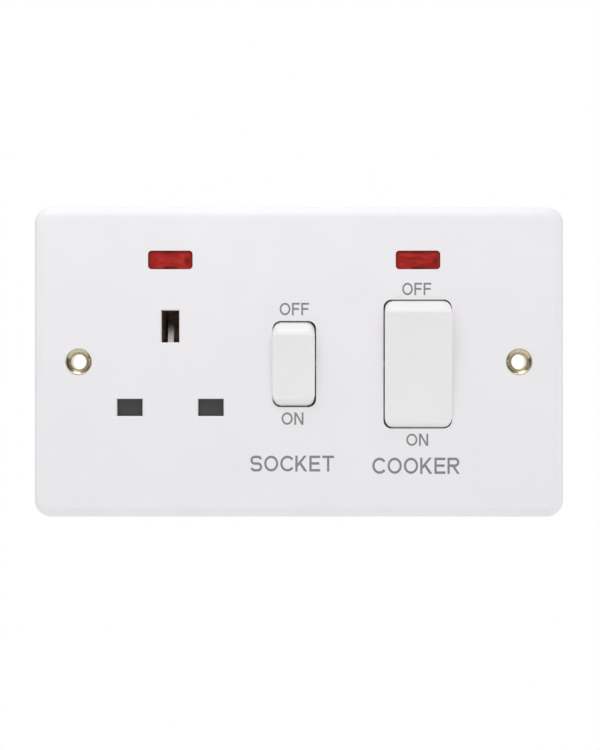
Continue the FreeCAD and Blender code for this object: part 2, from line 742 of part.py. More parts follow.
def pin_clip(x):
    part = clip(CLIP_MOUTH, CLIP_W, COVER_Y1 + CLIP_FRONT_GAP)
    part.translate(vec(x, 0, PIN_Z))
    return part


def earth_clip():
    part = clip(EARTH_CLIP_MOUTH, EARTH_CLIP_W, COVER_Y1 + CLIP_FRONT_GAP)
    part.rotate(vec(0, 0, 0), vec(0, 1, 0), 90)
    part.translate(vec(SOCKET_X, 0, EARTH_Z))
    return part


# Terminals

def terminal_places():
    """Centre x, upward or downward mouth, front face and wireway width of every terminal block."""
    places = []
    for x in TERMINAL_X.values():
        places.append((x, 1, STRIP_Y1, WIREWAY))
        places.append((x, -1, STRIP_Y1, WIREWAY))
    places.append((SOCKET_X, -1, BAR_Y1, EARTH_WIREWAY))
    return places


def block_span(mouth):
    """Lower and upper end of a block whose wire mouth looks up or down."""
    inner = mouth * (BLOCK_END_Z - BLOCK_L)
    outer = mouth * BLOCK_END_Z
    return min(inner, outer), max(inner, outer)


def screw_z(mouth):
    return mouth * (BLOCK_END_Z - BLOCK_L / 2)


def terminal_block(x, mouth, y0, wireway):
    """Brass block with a square wireway along Z and a tapped hole in its back."""
    z0, z1 = block_span(mouth)
    block = upright(x, BLOCK_W, y0, y0 + BLOCK_D, z0, z1)
    front = y0 + WIREWAY_WEB
    hole = upright(x, wireway, front, front + wireway, z0 - 1, z1 + 1)
    thread = rod("y", SCREW_R, front + wireway / 2, y0 + BLOCK_D + 1, x, screw_z(mouth))
    return block.cut([hole, thread])


def terminal_screw(x, z, y0, wireway):
    """Grub screw standing a little out of the back of its block."""
    tip_y = y0 + WIREWAY_WEB + wireway + SCREW_TIP_GAP
    return rod("y", SCREW_R, tip_y, y0 + BLOCK_D + SCREW_STAND, x, z)


def terminal_blocks():
    return Part.makeCompound([terminal_block(*place) for place in terminal_places()])


def terminal_screws():
    screws = [terminal_screw(x, screw_z(mouth), y0, way) for x, mouth, y0, way in terminal_places()]
    return Part.makeCompound(screws)


# Neon indicators

def neon_lens(x):
    w = LENS_W - 2 * LENS_GAP
    h = LENS_H - 2 * LENS_GAP
    window = rounded(x, NEON_Z, w, h, LENS_R - LENS_GAP, FRONT + LENS_SINK, INNER)
    high = h / 2 + LENS_FLANGE
    flange = upright(x, w + 2 * LENS_FLANGE, INNER, INNER + LENS_FLANGE_T, NEON_Z - high, NEON_Z + high)
    deep = h / 2 - LENS_WALL
    floor = FRONT + LENS_SINK + LENS_WALL
    pocket = upright(x, w - 2 * LENS_WALL, floor, INNER + 2, NEON_Z - deep, NEON_Z + deep)
    return fuse(window, flange).cut(pocket)


def lead(x0, x1, y, z):
    """Short tinned lead along X."""
    half = LEAD_T / 2
    return box(x0, x1, y - half, y + half, z - half, z + half)


def neon_lamp(x):
    return rod("x", LAMP_R, x - LAMP_L / 2, x + LAMP_L / 2, LAMP_Y, NEON_Z)


def neon_resistor(x):
    return rod("x", RESISTOR_R, x - RESISTOR_L / 2, x + RESISTOR_L / 2, RESISTOR_Y, NEON_Z)


def neon_leads(x):
    """Two leads out of the lamp; the upper one folds back to the resistor, whose other lead is free."""
    end = x + LAMP_L / 2
    half = LEAD_PITCH / 2
    top = lead(end, end + LEAD_L, LAMP_Y, NEON_Z + half)
    low = lead(end, end + LEAD_L, LAMP_Y, NEON_Z - half)
    ohm_end = x + RESISTOR_L / 2
    back = lead(ohm_end, end + LEAD_L, RESISTOR_Y, NEON_Z + half)
    t = LEAD_T / 2
    z = NEON_Z + half
    fold = box(end + LEAD_L - LEAD_T, end + LEAD_L, LAMP_Y - t, RESISTOR_Y + t, z - t, z + t)
    free = lead(x - RESISTOR_L / 2 - LEAD_L, x - RESISTOR_L / 2, RESISTOR_Y, NEON_Z)
    return [fuse(top, fold, back), low, free]


# Rear housing

def bar_clearances():
    """Room for the conductors that pass through the housing's inner walls."""
    low = PIN_Z - CLIP_BODY / 2
    bars = [
        (LINE_X, SMALL_X, BAR_Y0, low, low + BAR_H),
        (NEUTRAL_X, COOKER_X + POLE_SPREAD, BAR_Y0, NEUTRAL_BAR_Z, NEUTRAL_BAR_Z + BAR_H),
        (SMALL_X, COOKER_X, STRIP_Y0, LINE_BAR_Z, LINE_BAR_Z + BAR_H),
    ]
    c = BAR_CLEAR
    return [box(x0, x1, y0 - c, y0 + STRIP_T + FLOOR_GAP, z0 - c, z1 + c) for x0, x1, y0, z0, z1 in bars]


def tower(x, mouth, y0):
    half = BLOCK_W / 2 + TOWER_GAP + TOWER_WALL
    z0 = mouth * (BLOCK_END_Z - BLOCK_L - TOWER_GAP - TOWER_WALL)
    z1 = mouth * HOUSING_H / 2
    top = y0 + BLOCK_D + SCREW_STAND + TOWER_LIP
    return upright(x, 2 * half, FLOOR_Y0, top, min(z0, z1), max(z0, z1))


def tower_pocket(x, mouth, y0):
    half = BLOCK_W / 2 + TOWER_GAP
    z0 = mouth * (BLOCK_END_Z - BLOCK_L - TOWER_GAP)
    z1 = mouth * (HOUSING_H / 2 + 1)
    return upright(x, 2 * half, y0, y0 + BLOCK_D + SCREW_STAND + 2 * TOWER_LIP, min(z0, z1), max(z0, z1))


def rocker_keepers():
    """Walls beside each rocker whose nibs hold its trunnions in their slots."""
    walls = []
    back = FLOOR_Y0 + RIB_ROOT
    half = KEEPER_W / 2
    nib = TRUNNION_R - KEEPER_GAP
    nib_y = PIVOT_Y + TRUNNION_R + KEEPER_GAP
    for x, w, _ in rocker_openings():
        for side in (-1, 1):
            xs = (x + side * (w / 2 + KEEPER_SIDE_GAP), x + side * (w / 2 + COLLAR_T))
            wall_y = COLLAR_BACK + KEEPER_BACK_GAP
            walls.append(between(*xs, wall_y, back, ROCKER_Z - half, ROCKER_Z + half))
            walls.append(between(*xs, nib_y, wall_y + RIB_ROOT, ROCKER_Z - nib, ROCKER_Z + nib))
    return walls


def housing_walls():
    """Walls inside the housing: socket partition, rests of the deck, barrier between the cooker poles."""
    back = FLOOR_Y0 + RIB_ROOT
    low = -HOUSING_H / 2 + HOUSING_WALL / 2
    left = -HOUSING_W / 2 + HOUSING_WALL / 2
    walls = rocker_keepers()
    walls.append(upright(PARTITION_X, PARTITION_T, COVER_Y1, back, low, COVER_TOP_Z))
    for z in (COVER_TOP_Z - REST_INSET, COVER_BOTTOM_Z + REST_INSET):
        walls.append(box(left, left + REST_W, COVER_Y1, back, z - REST_H / 2, z + REST_H / 2))
    walls.append(upright(COOKER_X, BARRIER_T, BARRIER_FRONT, back, BARRIER_LOW, LINE_BAR_Z - BARRIER_GAP))
    return walls


def neon_cradles():
    """Ribs under the top wall that hold each lamp and the resistor behind it."""
    ribs = []
    top = HOUSING_H / 2 - HOUSING_WALL / 2
    for x in (SOCKET_X, COOKER_NEON_X):
        for side in (-1, 1):
            cx = x + side * CRADLE_SPREAD
            x0 = cx - CRADLE_T / 2
            x1 = cx + CRADLE_T / 2
            rib = box(x0, x1, HOUSING_FRONT, RESISTOR_Y + CRADLE_BACK, NEON_Z - CRADLE_DROP, top)
            lamp_r = LAMP_R + CRADLE_GAP
            ohm_r = RESISTOR_R + CRADLE_GAP
            lamp_back = LAMP_Y + lamp_r
            ohm_back = RESISTOR_Y + ohm_r
            seats = [
                box(x0 - 1, x1 + 1, HOUSING_FRONT - 1, lamp_back, NEON_Z - lamp_r, NEON_Z + lamp_r),
                box(x0 - 1, x1 + 1, LAMP_Y, ohm_back, NEON_Z - ohm_r, NEON_Z + ohm_r),
            ]
            ribs.append(rib.cut(seats))
    return ribs


def ledge(side, z):
    """Ledge on the housing's side wall for a snap hook."""
    wall = HOUSING_W / 2
    low = z - HOOK_W / 2
    return between(side * (wall - HOUSING_WALL / 2), side * (wall + LEDGE_T), HOUSING_FRONT,
                   HOUSING_FRONT + LEDGE_D, low, low + HOOK_W)


def rear_housing():
    case = rounded(0, 0, HOUSING_W, HOUSING_H, HOUSING_CORNER_R, HOUSING_FRONT, FLOOR_Y1)
    half_h = HOUSING_H / 2 - HOUSING_WALL
    case = case.cut(upright(0, HOUSING_W - 2 * HOUSING_WALL, HOUSING_FRONT - 1, FLOOR_Y0, -half_h, half_h))
    inside = [wall.cut(bar_clearances()) for wall in housing_walls()]
    towers = [tower(x, mouth, y0) for x, mouth, y0, _ in terminal_places()]
    ledges = [ledge(side, z) for side, z in HOOKS]
    case = fuse(case, *inside, *towers, *ledges, *neon_cradles())
    return case.cut([tower_pocket(x, mouth, y0) for x, mouth, y0, _ in terminal_places()])


def all_pieces():
    neon_xs = (SOCKET_X, COOKER_NEON_X)
    pieces = {
        "front_plate": front_plate(),
        "fixing_eyelets": Part.makeCompound([eyelet(-1), eyelet(1)]),
        "socket_rocker": socket_rocker(),
        "cooker_rocker": cooker_rocker(),
        "shutter": shutter(),
        "shutter_cam": shutter_cam(),
        "shutter_spring": shutter_spring(),
        "contact_cover": contact_cover(),
        "line_clip": pin_clip(LINE_X),
        "neutral_clip": pin_clip(NEUTRAL_X),
        "earth_clip": earth_clip(),
        "line_busbar": line_busbar(),
        "neutral_feed_strip": neutral_feed(),
        "neutral_link_bar": neutral_link_bar(),
        "load_strip_line": load_strip("line"),
        "load_strip_neutral": load_strip("neutral"),
        "socket_line_bar": socket_line_bar(),
        "earth_strip": earth_strip(),
        "terminal_blocks": terminal_blocks(),
        "terminal_screws": terminal_screws(),
        "rear_housing": rear_housing(),
        "neon_lamps": Part.makeCompound([neon_lamp(x) for x in neon_xs]),
        "neon_leads": Part.makeCompound(neon_leads(SOCKET_X) + neon_leads(COOKER_NEON_X)),
        "neon_resistors": Part.makeCompound([neon_resistor(x) for x in neon_xs]),
        "fixed_tips": Part.makeCompound([fixed_tip(x) for x, _ in POLES.values()]),
    }
    for pole, (x, degrees) in POLES.items():
        pieces[pole + "_plunger"] = plunger(x, degrees)
        pieces[pole + "_plunger_spring"] = plunger_spring(x, degrees)
        pieces[pole + "_contact_arm"] = contact_arm(x)
        pieces[pole + "_moving_tip"] = moving_tip(x)
    for name, x in (("socket", SOCKET_X), ("cooker", COOKER_NEON_X)):
        pieces[name + "_neon_lens"] = neon_lens(x)
    return pieces


for piece_name, piece in all_pieces().items():
    piece.exportStep("parts/" + piece_name + ".step")
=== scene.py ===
"""Dressed scene of a cooker control unit: plate, shuttered socket, two rockers and two neon windows."""

import functools
import json
import logging
import math
from dataclasses import dataclass
from enum import Enum

import bmesh
import bpy
from mathutils import Matrix, Vector


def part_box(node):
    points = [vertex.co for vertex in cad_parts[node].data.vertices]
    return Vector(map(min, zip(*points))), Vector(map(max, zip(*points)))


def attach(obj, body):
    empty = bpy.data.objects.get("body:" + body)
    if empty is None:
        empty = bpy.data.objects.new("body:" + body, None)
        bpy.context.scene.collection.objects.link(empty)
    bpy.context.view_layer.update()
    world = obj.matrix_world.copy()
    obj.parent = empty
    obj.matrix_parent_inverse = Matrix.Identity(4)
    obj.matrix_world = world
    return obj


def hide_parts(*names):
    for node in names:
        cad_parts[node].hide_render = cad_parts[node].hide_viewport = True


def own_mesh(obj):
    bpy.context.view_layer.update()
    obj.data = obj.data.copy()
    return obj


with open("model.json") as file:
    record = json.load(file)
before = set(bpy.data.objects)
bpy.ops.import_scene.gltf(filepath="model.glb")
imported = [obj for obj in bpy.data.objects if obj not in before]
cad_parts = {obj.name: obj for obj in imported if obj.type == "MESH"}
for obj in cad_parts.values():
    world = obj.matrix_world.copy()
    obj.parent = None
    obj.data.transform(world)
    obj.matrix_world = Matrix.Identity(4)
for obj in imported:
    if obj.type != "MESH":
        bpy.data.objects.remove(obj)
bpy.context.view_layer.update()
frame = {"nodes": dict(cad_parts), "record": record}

# Lengths in metres: corners this close are one, points this near share a plane, edges this short go.
MM = 0.001
MERGE_DISTANCE = 1e-6
NEAR = 10 * MERGE_DISTANCE
SLIVER = 2e-5

# The full range, where most of a noise's values lie, and the wave texture's period at a scale of 1.
UNIT = (0.0, 1.0)
NOISE_SPAN = (0.3, 0.7)
WAVE_PERIOD = 0.314

LOG = logging.getLogger("cooker_control_unit")

BMesh = bmesh.types.BMesh
Material = bpy.types.Material
Piece = bpy.types.Object
Socket = bpy.types.NodeSocket
Point = tuple[float, float]
Triple = tuple[float, float, float]
Colour = Triple


class Body(Enum):
    """Rigid bodies of the unit that new pieces ride on."""

    BASE = "base"
    SOCKET_ROCKER = "socket_rocker"
    COOKER_ROCKER = "cooker_rocker"


class Nodes:
    """A node tree while it is being laid out."""

    def __init__(self, tree: bpy.types.NodeTree) -> None:
        """Empty the tree and keep it."""
        tree.nodes.clear()
        self.tree = tree

    def add(self, kind: str, **values: object) -> bpy.types.Node:
        """Add a node and set its input sockets.

        Args:
            kind: Blender's type name of the node.
            values: Socket names, with spaces as underscores, and what they are set to.

        Returns:
            The new node.
        """
        node = self.tree.nodes.new(kind)
        for name, value in values.items():
            node.inputs[name.replace("_", " ")].default_value = value
        return node

    def link(self, source: Socket, target: Socket) -> None:
        """Join an output socket to an input socket."""
        self.tree.links.new(source, target)

    def combine(self, operation: str, *values: Socket) -> Socket:
        """Combine values in a math node.

        Args:
            operation: Blender's name of the operation.
            values: One or two sockets.

        Returns:
            The result's socket.
        """
        node = self.add("ShaderNodeMath")
        node.operation = operation
        for value, socket in zip(values, node.inputs):
            self.link(value, socket)
        return node.outputs["Value"]

    def span(self, value: Socket, source: Point, target: tuple[Socket | float, Socket | float],
             interpolation: str = "LINEAR") -> Socket:
        """Map a value from one range to another, clamped.

        Args:
            value: Socket that is mapped.
            source: Lowest and highest value that come in.
            target: What they become, as numbers or sockets.
            interpolation: Blender's name of the way between them.

        Returns:
            The mapped value's socket.
        """
        node = self.add("ShaderNodeMapRange", From_Min=source[0], From_Max=source[1])
        node.interpolation_type = interpolation
        self.link(value, node.inputs["Value"])
        for name, level in zip(("To Min", "To Max"), target):
            if isinstance(level, float):
                node.inputs[name].default_value = level
            else:
                self.link(level, node.inputs[name])
        return node.outputs["Result"]

    def distance(self, place: Socket, scale: Triple, offset: Triple) -> Socket:
        """Measure how far a place is from the origin once it is scaled and moved.

        Args:
            place: Socket with the place.
            scale: Factor along each axis.
            offset: Move along each axis, after the scale.

        Returns:
            The distance's socket.
        """
        mapping = self.add("ShaderNodeMapping", Scale=scale, Location=offset)
        self.link(place, mapping.inputs["Vector"])
        node = self.add("ShaderNodeVectorMath")
        node.operation = "LENGTH"
        self.link(mapping.outputs["Vector"], node.inputs[0])
        return node.outputs["Value"]


class Shader(Nodes):
    """A material's node tree, round a principled shader."""

    def __init__(self, name: str) -> None:
        """Start a material.

        Args:
            name: Name of the material.
        """
        self.material = bpy.data.materials.new(name)
        self.material.use_nodes = True
        super().__init__(self.material.node_tree)
        self.output = self.add("ShaderNodeOutputMaterial")
        self.principled = self.add("ShaderNodeBsdfPrincipled")
        self.link(self.principled.outputs["BSDF"], self.output.inputs["Surface"])
        self.place = self.add("ShaderNodeTexCoord").outputs["Object"]

    def set(self, **values: object) -> None:
        """Set constant values on the principled shader's own sockets."""
        for name, value in values.items():
            self.principled.inputs[name.replace("_", " ")].default_value = value

    def noise(self, size_mm: float, detail: float = 3.0, stretch: Triple = (1.0, 1.0, 1.0)) -> Socket:
        """Cloudy noise on the object's own coordinates.

        Args:
            size_mm: Size of one cloud in millimetres.
            detail: Number of finer layers.
            stretch: How much finer the noise runs along each axis.

        Returns:
            The noise's value socket.
        """
        mapping = self.add("ShaderNodeMapping", Scale=stretch)
        self.link(self.place, mapping.inputs["Vector"])
        noise = self.add("ShaderNodeTexNoise", Scale=1.0 / (size_mm * MM), Detail=detail)
        self.link(mapping.outputs["Vector"], noise.inputs["Vector"])
        return noise.outputs["Fac"]

    def paint(self, value: Socket, *stops: tuple[float, Colour]) -> None:
        """Set the base colour by a value.

        Args:
            value: Socket that drives the colour.
            stops: Positions and linear colours, in rising order.
        """
        node = self.add("ShaderNodeValToRGB")
        elements = node.color_ramp.elements
        while len(elements) < len(stops):
            elements.new(1.0)
        for element, (position, colour) in zip(elements, stops):
            element.position = position
            element.color = (*colour, 1.0)
        self.link(value, node.inputs["Fac"])
        self.link(node.outputs["Color"], self.principled.inputs["Base Color"])

    def polish(self, value: Socket, roughness: float, swing: Point) -> None:
        """Set the roughness by a noise.

        Args:
            value: The noise's socket.
            roughness: Roughness in the middle.
            swing: Factors on it where the noise is low and high.
        """
        rough = self.span(value, NOISE_SPAN, scaled(swing, roughness))
        self.link(rough, self.principled.inputs["Roughness"])

    def bump(self, height: Socket, strength: float, depth_mm: float) -> None:
        """Turn a height into the surface's normal.

        Args:
            height: Socket with the height.
            strength: Strength of the bump.
            depth_mm: Depth of the relief in millimetres.
        """
        node = self.add("ShaderNodeBump", Strength=strength, Distance=depth_mm * MM)
        self.link(height, node.inputs["Height"])
        self.link(node.outputs["Normal"], self.principled.inputs["Normal"])


def scaled(span: Point, factor: float) -> Point:
    """Span with both its ends times a factor."""
    return (span[0] * factor, span[1] * factor)


def shade(colour: Colour, factor: float) -> Colour:
    """Colour made lighter or darker by a factor."""
    return tuple(min(1.0, channel * factor) for channel in colour)


@dataclass(frozen=True)
class PaintedHeightShade:
    """Colour that a finish fades into with height: painted shade towards the top of the earth hole."""

    colour: Colour
    start_mm: float
    end_mm: float

    def lay(self, shader: Shader) -> None:
        """Paint shade into a material's base colour by height.

        Args:
            shader: Material whose base colour is already linked.
        """
        base = shader.principled.inputs["Base Color"]
        parts = shader.add("ShaderNodeSeparateXYZ")
        shader.link(shader.place, parts.inputs["Vector"])
        # Painted shade: the share of the darker colour grows with height.
        share = shader.span(parts.outputs["Z"], scaled((self.start_mm, self.end_mm), MM), UNIT)
        mix = shader.add("ShaderNodeMixRGB", Color2=(*self.colour, 1.0))
        shader.link(share, mix.inputs["Fac"])
        shader.link(base.links[0].from_socket, mix.inputs["Color1"])
        shader.link(mix.outputs["Color"], base)


@dataclass(frozen=True)
class Plastic:
    """Moulded plastic with faint clouding and a fine moulded skin."""

    name: str
    colour: Colour
    roughness: float
    clouding: float = 0.012
    cloud_mm: float = 14.0
    gloss_mm: float = 3.0
    gloss_swing: Point = (0.92, 1.08)
    skin_mm: float = 0.22
    skin_depth_mm: float = 0.004
    skin_strength: float = 0.12
    index: float = 1.5
    specular: float = 0.5
    # Painted shade by height, for a finish that sits deep in the earth hole.
    fade: PaintedHeightShade | None = None

    def material(self) -> Material:
        """Lay out the plastic's nodes.

        Returns:
            The material.
        """
        shader = Shader(self.name)
        low, high = NOISE_SPAN
        dark = shade(self.colour, 1.0 - self.clouding)
        light = shade(self.colour, 1.0 + self.clouding)
        shader.paint(shader.noise(self.cloud_mm, detail=4.0), (low, dark), (high, light))
        shader.polish(shader.noise(self.gloss_mm, detail=5.0), self.roughness, self.gloss_swing)
        shader.bump(shader.noise(self.skin_mm, detail=2.0), self.skin_strength, self.skin_depth_mm)
        shader.set(IOR=self.index, Specular_IOR_Level=self.specular)
        if self.fade:
            self.fade.lay(shader)
        return shader.material


@dataclass(frozen=True)
class Metal:
    """Rolled, drawn or plated metal with fine lines along one axis and slight tarnish."""

    name: str
    colour: Colour
    roughness: float
    tarnish: float = 0.12
    stain_mm: float = 5.0
    stain_span: Point = (0.3, 0.65)
    line_mm: float = 0.3
    line_stretch: Triple = (1.0, 1.0, 12.0)
    line_swing: Point = (0.8, 1.25)
    metallic: float = 1.0
    # Painted shade by height, for a finish that sits deep in the earth hole.
    fade: PaintedHeightShade | None = None

    def material(self) -> Material:
        """Lay out the metal's nodes.

        Returns:
            The material.
        """
        shader = Shader(self.name)
        low, high = self.stain_span
        dark = shade(self.colour, 1.0 - self.tarnish)
        shader.paint(shader.noise(self.stain_mm, detail=5.0), (low, dark), (high, self.colour))
        lines = shader.noise(self.line_mm, stretch=self.line_stretch)
        shader.polish(lines, self.roughness, self.line_swing)
        shader.bump(lines, strength=0.15, depth_mm=0.004)
        shader.set(Metallic=self.metallic)
        if self.fade:
            self.fade.lay(shader)
        return shader.material


@dataclass(frozen=True)
class TurnedBrass:
    """Turned brass whose tool marks ring the bore, read from the piece's own radius attribute."""

    name: str
    colour: Colour
    roughness: float
    attribute: str
    pitch_mm: float = 0.09
    stain_mm: float = 1.6
    tarnish: float = 0.8
    stain_swing: Point = (1.2, 0.85)

    def material(self) -> Material:
        """Lay out the brass's nodes.

        Returns:
            The material.
        """
        shader = Shader(self.name)
        radius = shader.add("ShaderNodeAttribute")
        radius.attribute_name = self.attribute
        along = shader.add("ShaderNodeCombineXYZ")
        shader.link(radius.outputs["Fac"], along.inputs["X"])
        wave = shader.add("ShaderNodeTexWave", Scale=WAVE_PERIOD / (self.pitch_mm * MM), Distortion=0.4)
        shader.link(along.outputs["Vector"], wave.inputs["Vector"])
        stain = shader.noise(self.stain_mm, detail=4.0)
        low, high = NOISE_SPAN
        shader.paint(stain, (low, shade(self.colour, self.tarnish)), (high, self.colour))
        shader.polish(stain, self.roughness, self.stain_swing)
        shader.bump(wave.outputs["Fac"], strength=0.2, depth_mm=0.006)
        shader.set(Metallic=1.0)
        return shader.material


@dataclass(frozen=True)
class NeonRed:
    """Clear red moulding with painted light and shade: lit streaks and a dark spot for what lies behind it,
    and shade at its ends, top and edges.

    Its spans and places are shares of the window's half size, and its painted shades run from light 0 to
    dark 1.
    """

    name: str
    centre: Vector
    half: Vector
    # Colours of the painted light and shade, from lit streaks to shaded edges.
    bright: Colour = (0.50, 0.03, 0.022)
    colour: Colour = (0.36, 0.012, 0.01)
    edge: Colour = (0.13, 0.004, 0.004)
    colour_shade: float = 0.4
    streak_mm: float = 2.6
    streak_stretch: Triple = (0.5, 1.0, 1.5)
    streak_span: Point = (0.36, 0.66)
    streak_shade: float = 0.62
    end_span: Point = (0.72, 0.98)
    end_shade: float = 0.7
    top_span: Point = (0.55, 0.95)
    top_shade: float = 0.9
    rim_span: Point = (0.45, 0.85)
    middle_span: Point = (0.22, 0.42)
    rim_shades: Point = (1.0, 0.15)
    spot_place: Point = (0.78, -0.15)
    spot_half: Point = (0.24, 0.85)
    spot_core: float = 0.2
    spot_shade: float = 0.85
    ripple_mm: float = 0.9

    def material(self) -> Material:
        """Lay out the window's nodes.

        Returns:
            The material.
        """
        shader = Shader(self.name)
        mapping = shader.add("ShaderNodeMapping", Location=-self.centre)
        shader.link(shader.place, mapping.inputs["Vector"])
        parts = shader.add("ShaderNodeSeparateXYZ")
        shader.link(mapping.outputs["Vector"], parts.inputs["Vector"])
        wide, high = self.half.x, self.half.z
        side = shader.combine("ABSOLUTE", parts.outputs["X"])
        rise = shader.combine("ABSOLUTE", parts.outputs["Z"])
        # Painted shade at the ends, the top and the rim, and painted light in the streaks.
        ends = shader.span(side, scaled(self.end_span, wide), (0.0, self.end_shade))
        top = shader.span(parts.outputs["Z"], scaled(self.top_span, high), (0.0, self.top_shade))
        rim = shader.span(rise, scaled(self.rim_span, high), UNIT)
        middle = shader.span(side, scaled(self.middle_span, wide), self.rim_shades)
        patch = shader.combine("MULTIPLY", rim, middle)
        streaks = shader.noise(self.streak_mm, detail=2.0, stretch=self.streak_stretch)
        light = shader.span(streaks, self.streak_span, (self.streak_shade, 0.0))
        shades = [light, ends, top, patch, self.spot(shader)]
        level = functools.reduce(functools.partial(shader.combine, "MAXIMUM"), shades)
        shader.paint(level, (0.0, self.bright), (self.colour_shade, self.colour), (1.0, self.edge))
        shader.bump(shader.noise(self.ripple_mm, detail=2.0), strength=0.12, depth_mm=0.01)
        shader.set(Roughness=0.28, IOR=1.49, Specular_IOR_Level=0.12, Transmission_Weight=0.1)
        return shader.material

    def spot(self, shader: Shader) -> Socket:
        """Painted shade: a dark spot low at the right, for the lamp's end behind the lens.

        Args:
            shader: Material that takes the nodes.

        Returns:
            The spot's darkness.
        """
        wide, high = self.spot_half[0] * self.half.x, self.spot_half[1] * self.half.z
        x = self.centre.x + self.spot_place[0] * self.half.x
        z = self.centre.z + self.spot_place[1] * self.half.z
        away = shader.distance(shader.place, (1.0 / wide, 0.0, 1.0 / high), (-x / wide, 0.0, -z / high))
        return shader.span(away, (self.spot_core, 1.0), (self.spot_shade, 0.0))


@dataclass(frozen=True)
class LampGlass:
    """Thin lamp glass with a warm gas tint."""

    name: str
    tint: Colour
    cloud_mm: float = 2.0
    clouding: float = 0.9
    ripple_mm: float = 1.5

    def material(self) -> Material:
        """Lay out the glass's nodes.

        Returns:
            The material.
        """
        shader = Shader(self.name)
        low, high = NOISE_SPAN
        shader.paint(shader.noise(self.cloud_mm), (low, shade(self.tint, self.clouding)), (high, self.tint))
        shader.bump(shader.noise(self.ripple_mm, detail=2.0), strength=0.1, depth_mm=0.01)
        shader.set(Roughness=0.06, IOR=1.47, Transmission_Weight=0.85)
        return shader.material


class Finish(Enum):
    """Finishes of the unit, by the record's material slot."""

    PLATE = Plastic("plate_white", (0.848, 0.835, 0.853), 0.4, specular=0.22)
    ROCKER = Plastic("rocker_white", (0.85, 0.837, 0.843), 0.33)
    HOUSING = Plastic("housing_white", (0.66, 0.66, 0.645), 0.5, clouding=0.03, skin_strength=0.3)
    DECK = Plastic("deck_brown", (0.035, 0.022, 0.015), 0.5, clouding=0.15)
    SHUTTER = Plastic("shutter_grey", (0.06, 0.058, 0.061), 0.45, clouding=0.06)
    # The cam's fade is painted shade: it darkens towards the top of the earth hole.
    CAM = Plastic("cam_grey", (0.66, 0.65, 0.66), 0.4, clouding=0.04,
                  fade=PaintedHeightShade((0.1, 0.095, 0.1), start_mm=8.0, end_mm=10.4))
    PLUNGER = Plastic("plunger_natural", (0.62, 0.59, 0.5), 0.4, clouding=0.05)
    RESISTOR = Plastic("resistor_lacquer", (0.45, 0.3, 0.16), 0.4, clouding=0.1, cloud_mm=2.0)
    INK = Plastic("legend_ink", (0.232, 0.232, 0.243), 0.45, clouding=0.08, cloud_mm=1.5)
    EYELET = TurnedBrass("eyelet_brass", (0.70, 0.63, 0.46), 0.22, "turned_radius")
    CONDUCTOR = Metal("conductor_brass", (0.62, 0.42, 0.15), 0.32)
    # The clips' light base colour is painted light on their lower part, and their fade is painted shade
    # higher up.
    CLIP = Metal("clip_bronze", (0.9, 0.55, 0.32), 0.5, metallic=0.3,
                 fade=PaintedHeightShade((0.42, 0.25, 0.15), start_mm=6.5, end_mm=10.0))
    SPRING = Metal("spring_steel", (0.5, 0.5, 0.52), 0.3)
    SCREW = Metal("screw_plated", (0.62, 0.58, 0.45), 0.35)
    CONTACT = Metal("contact_silver", (0.75, 0.75, 0.72), 0.25)
    LEAD = Metal("lead_tinned", (0.6, 0.6, 0.6), 0.35)
    LAMP = LampGlass("lamp_glass", (0.95, 0.86, 0.8))

    @property
    def made(self) -> Material:
        """The finish's material, laid out once."""
        return bpy.data.materials.get(self.value.name) or self.value.material()


SLOT_FINISH: dict[str, Finish] = {
    "white_plate": Finish.PLATE,
    "white_rocker": Finish.ROCKER,
    "brass_eyelet": Finish.EYELET,
    "housing_plastic": Finish.HOUSING,
    "deck_plastic": Finish.DECK,
    "shutter_plastic": Finish.SHUTTER,
    "cam_plastic": Finish.CAM,
    "plunger_plastic": Finish.PLUNGER,
    "spring_steel": Finish.SPRING,
    "screw_steel": Finish.SCREW,
    "contact_silver": Finish.CONTACT,
    "lamp_glass": Finish.LAMP,
    "resistor_body": Finish.RESISTOR,
    "tinned_lead": Finish.LEAD,
    "brass_conductor": Finish.CONDUCTOR,
}

NODE_FINISH: dict[str, Finish] = {
    "line_clip": Finish.CLIP,
    "neutral_clip": Finish.CLIP,
    "earth_clip": Finish.CLIP,
}


def dress_nodes() -> None:
    """Give every CAD node its own finish or that of its material slot."""
    for part in frame["record"]["subparts"]:
        finish = NODE_FINISH.get(part["node"], SLOT_FINISH.get(part["material_slot"]))
        if finish is None:
            continue
        node = frame["nodes"][part["node"]]
        node.data.materials.clear()
        node.data.materials.append(finish.made)
        LOG.info("node %s: %s", part["node"], finish.name.lower())


def publish(piece: Piece, body: Body, slot: str, *nodes: str) -> Piece:
    """Tie a new piece to its body and hide the nodes that it stands for.

    Args:
        piece: The new piece.
        body: Body that it rides on.
        slot: Material slot in the record; not used.
        nodes: CAD nodes that it replaces.

    Returns:
        The piece.
    """
    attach(piece, body.value)
    if nodes:
        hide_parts(*nodes)
    LOG.info("piece %s on %s", piece.name, body.value)
    return piece


def make_object(name: str, mesh_data: BMesh, material: Material) -> Piece:
    """Turn a bmesh into an object at the origin.

    Args:
        name: Name of the piece.
        mesh_data: Its geometry, which is freed.
        material: Its material.

    Returns:
        The object, linked to the scene.
    """
    mesh = bpy.data.meshes.new(name)
    mesh_data.to_mesh(mesh)
    mesh_data.free()
    mesh.materials.append(material)
    piece = bpy.data.objects.new(name, mesh)
    bpy.context.scene.collection.objects.link(piece)
    return piece


def join(part: BMesh, whole: BMesh) -> None:
    """Add one geometry to another.

    Args:
        part: Geometry that is added and then freed.
        whole: Geometry that takes it.
    """
    mesh = bpy.data.meshes.new("part")
    part.to_mesh(mesh)
    part.free()
    whole.from_mesh(mesh)
    bpy.data.meshes.remove(mesh)


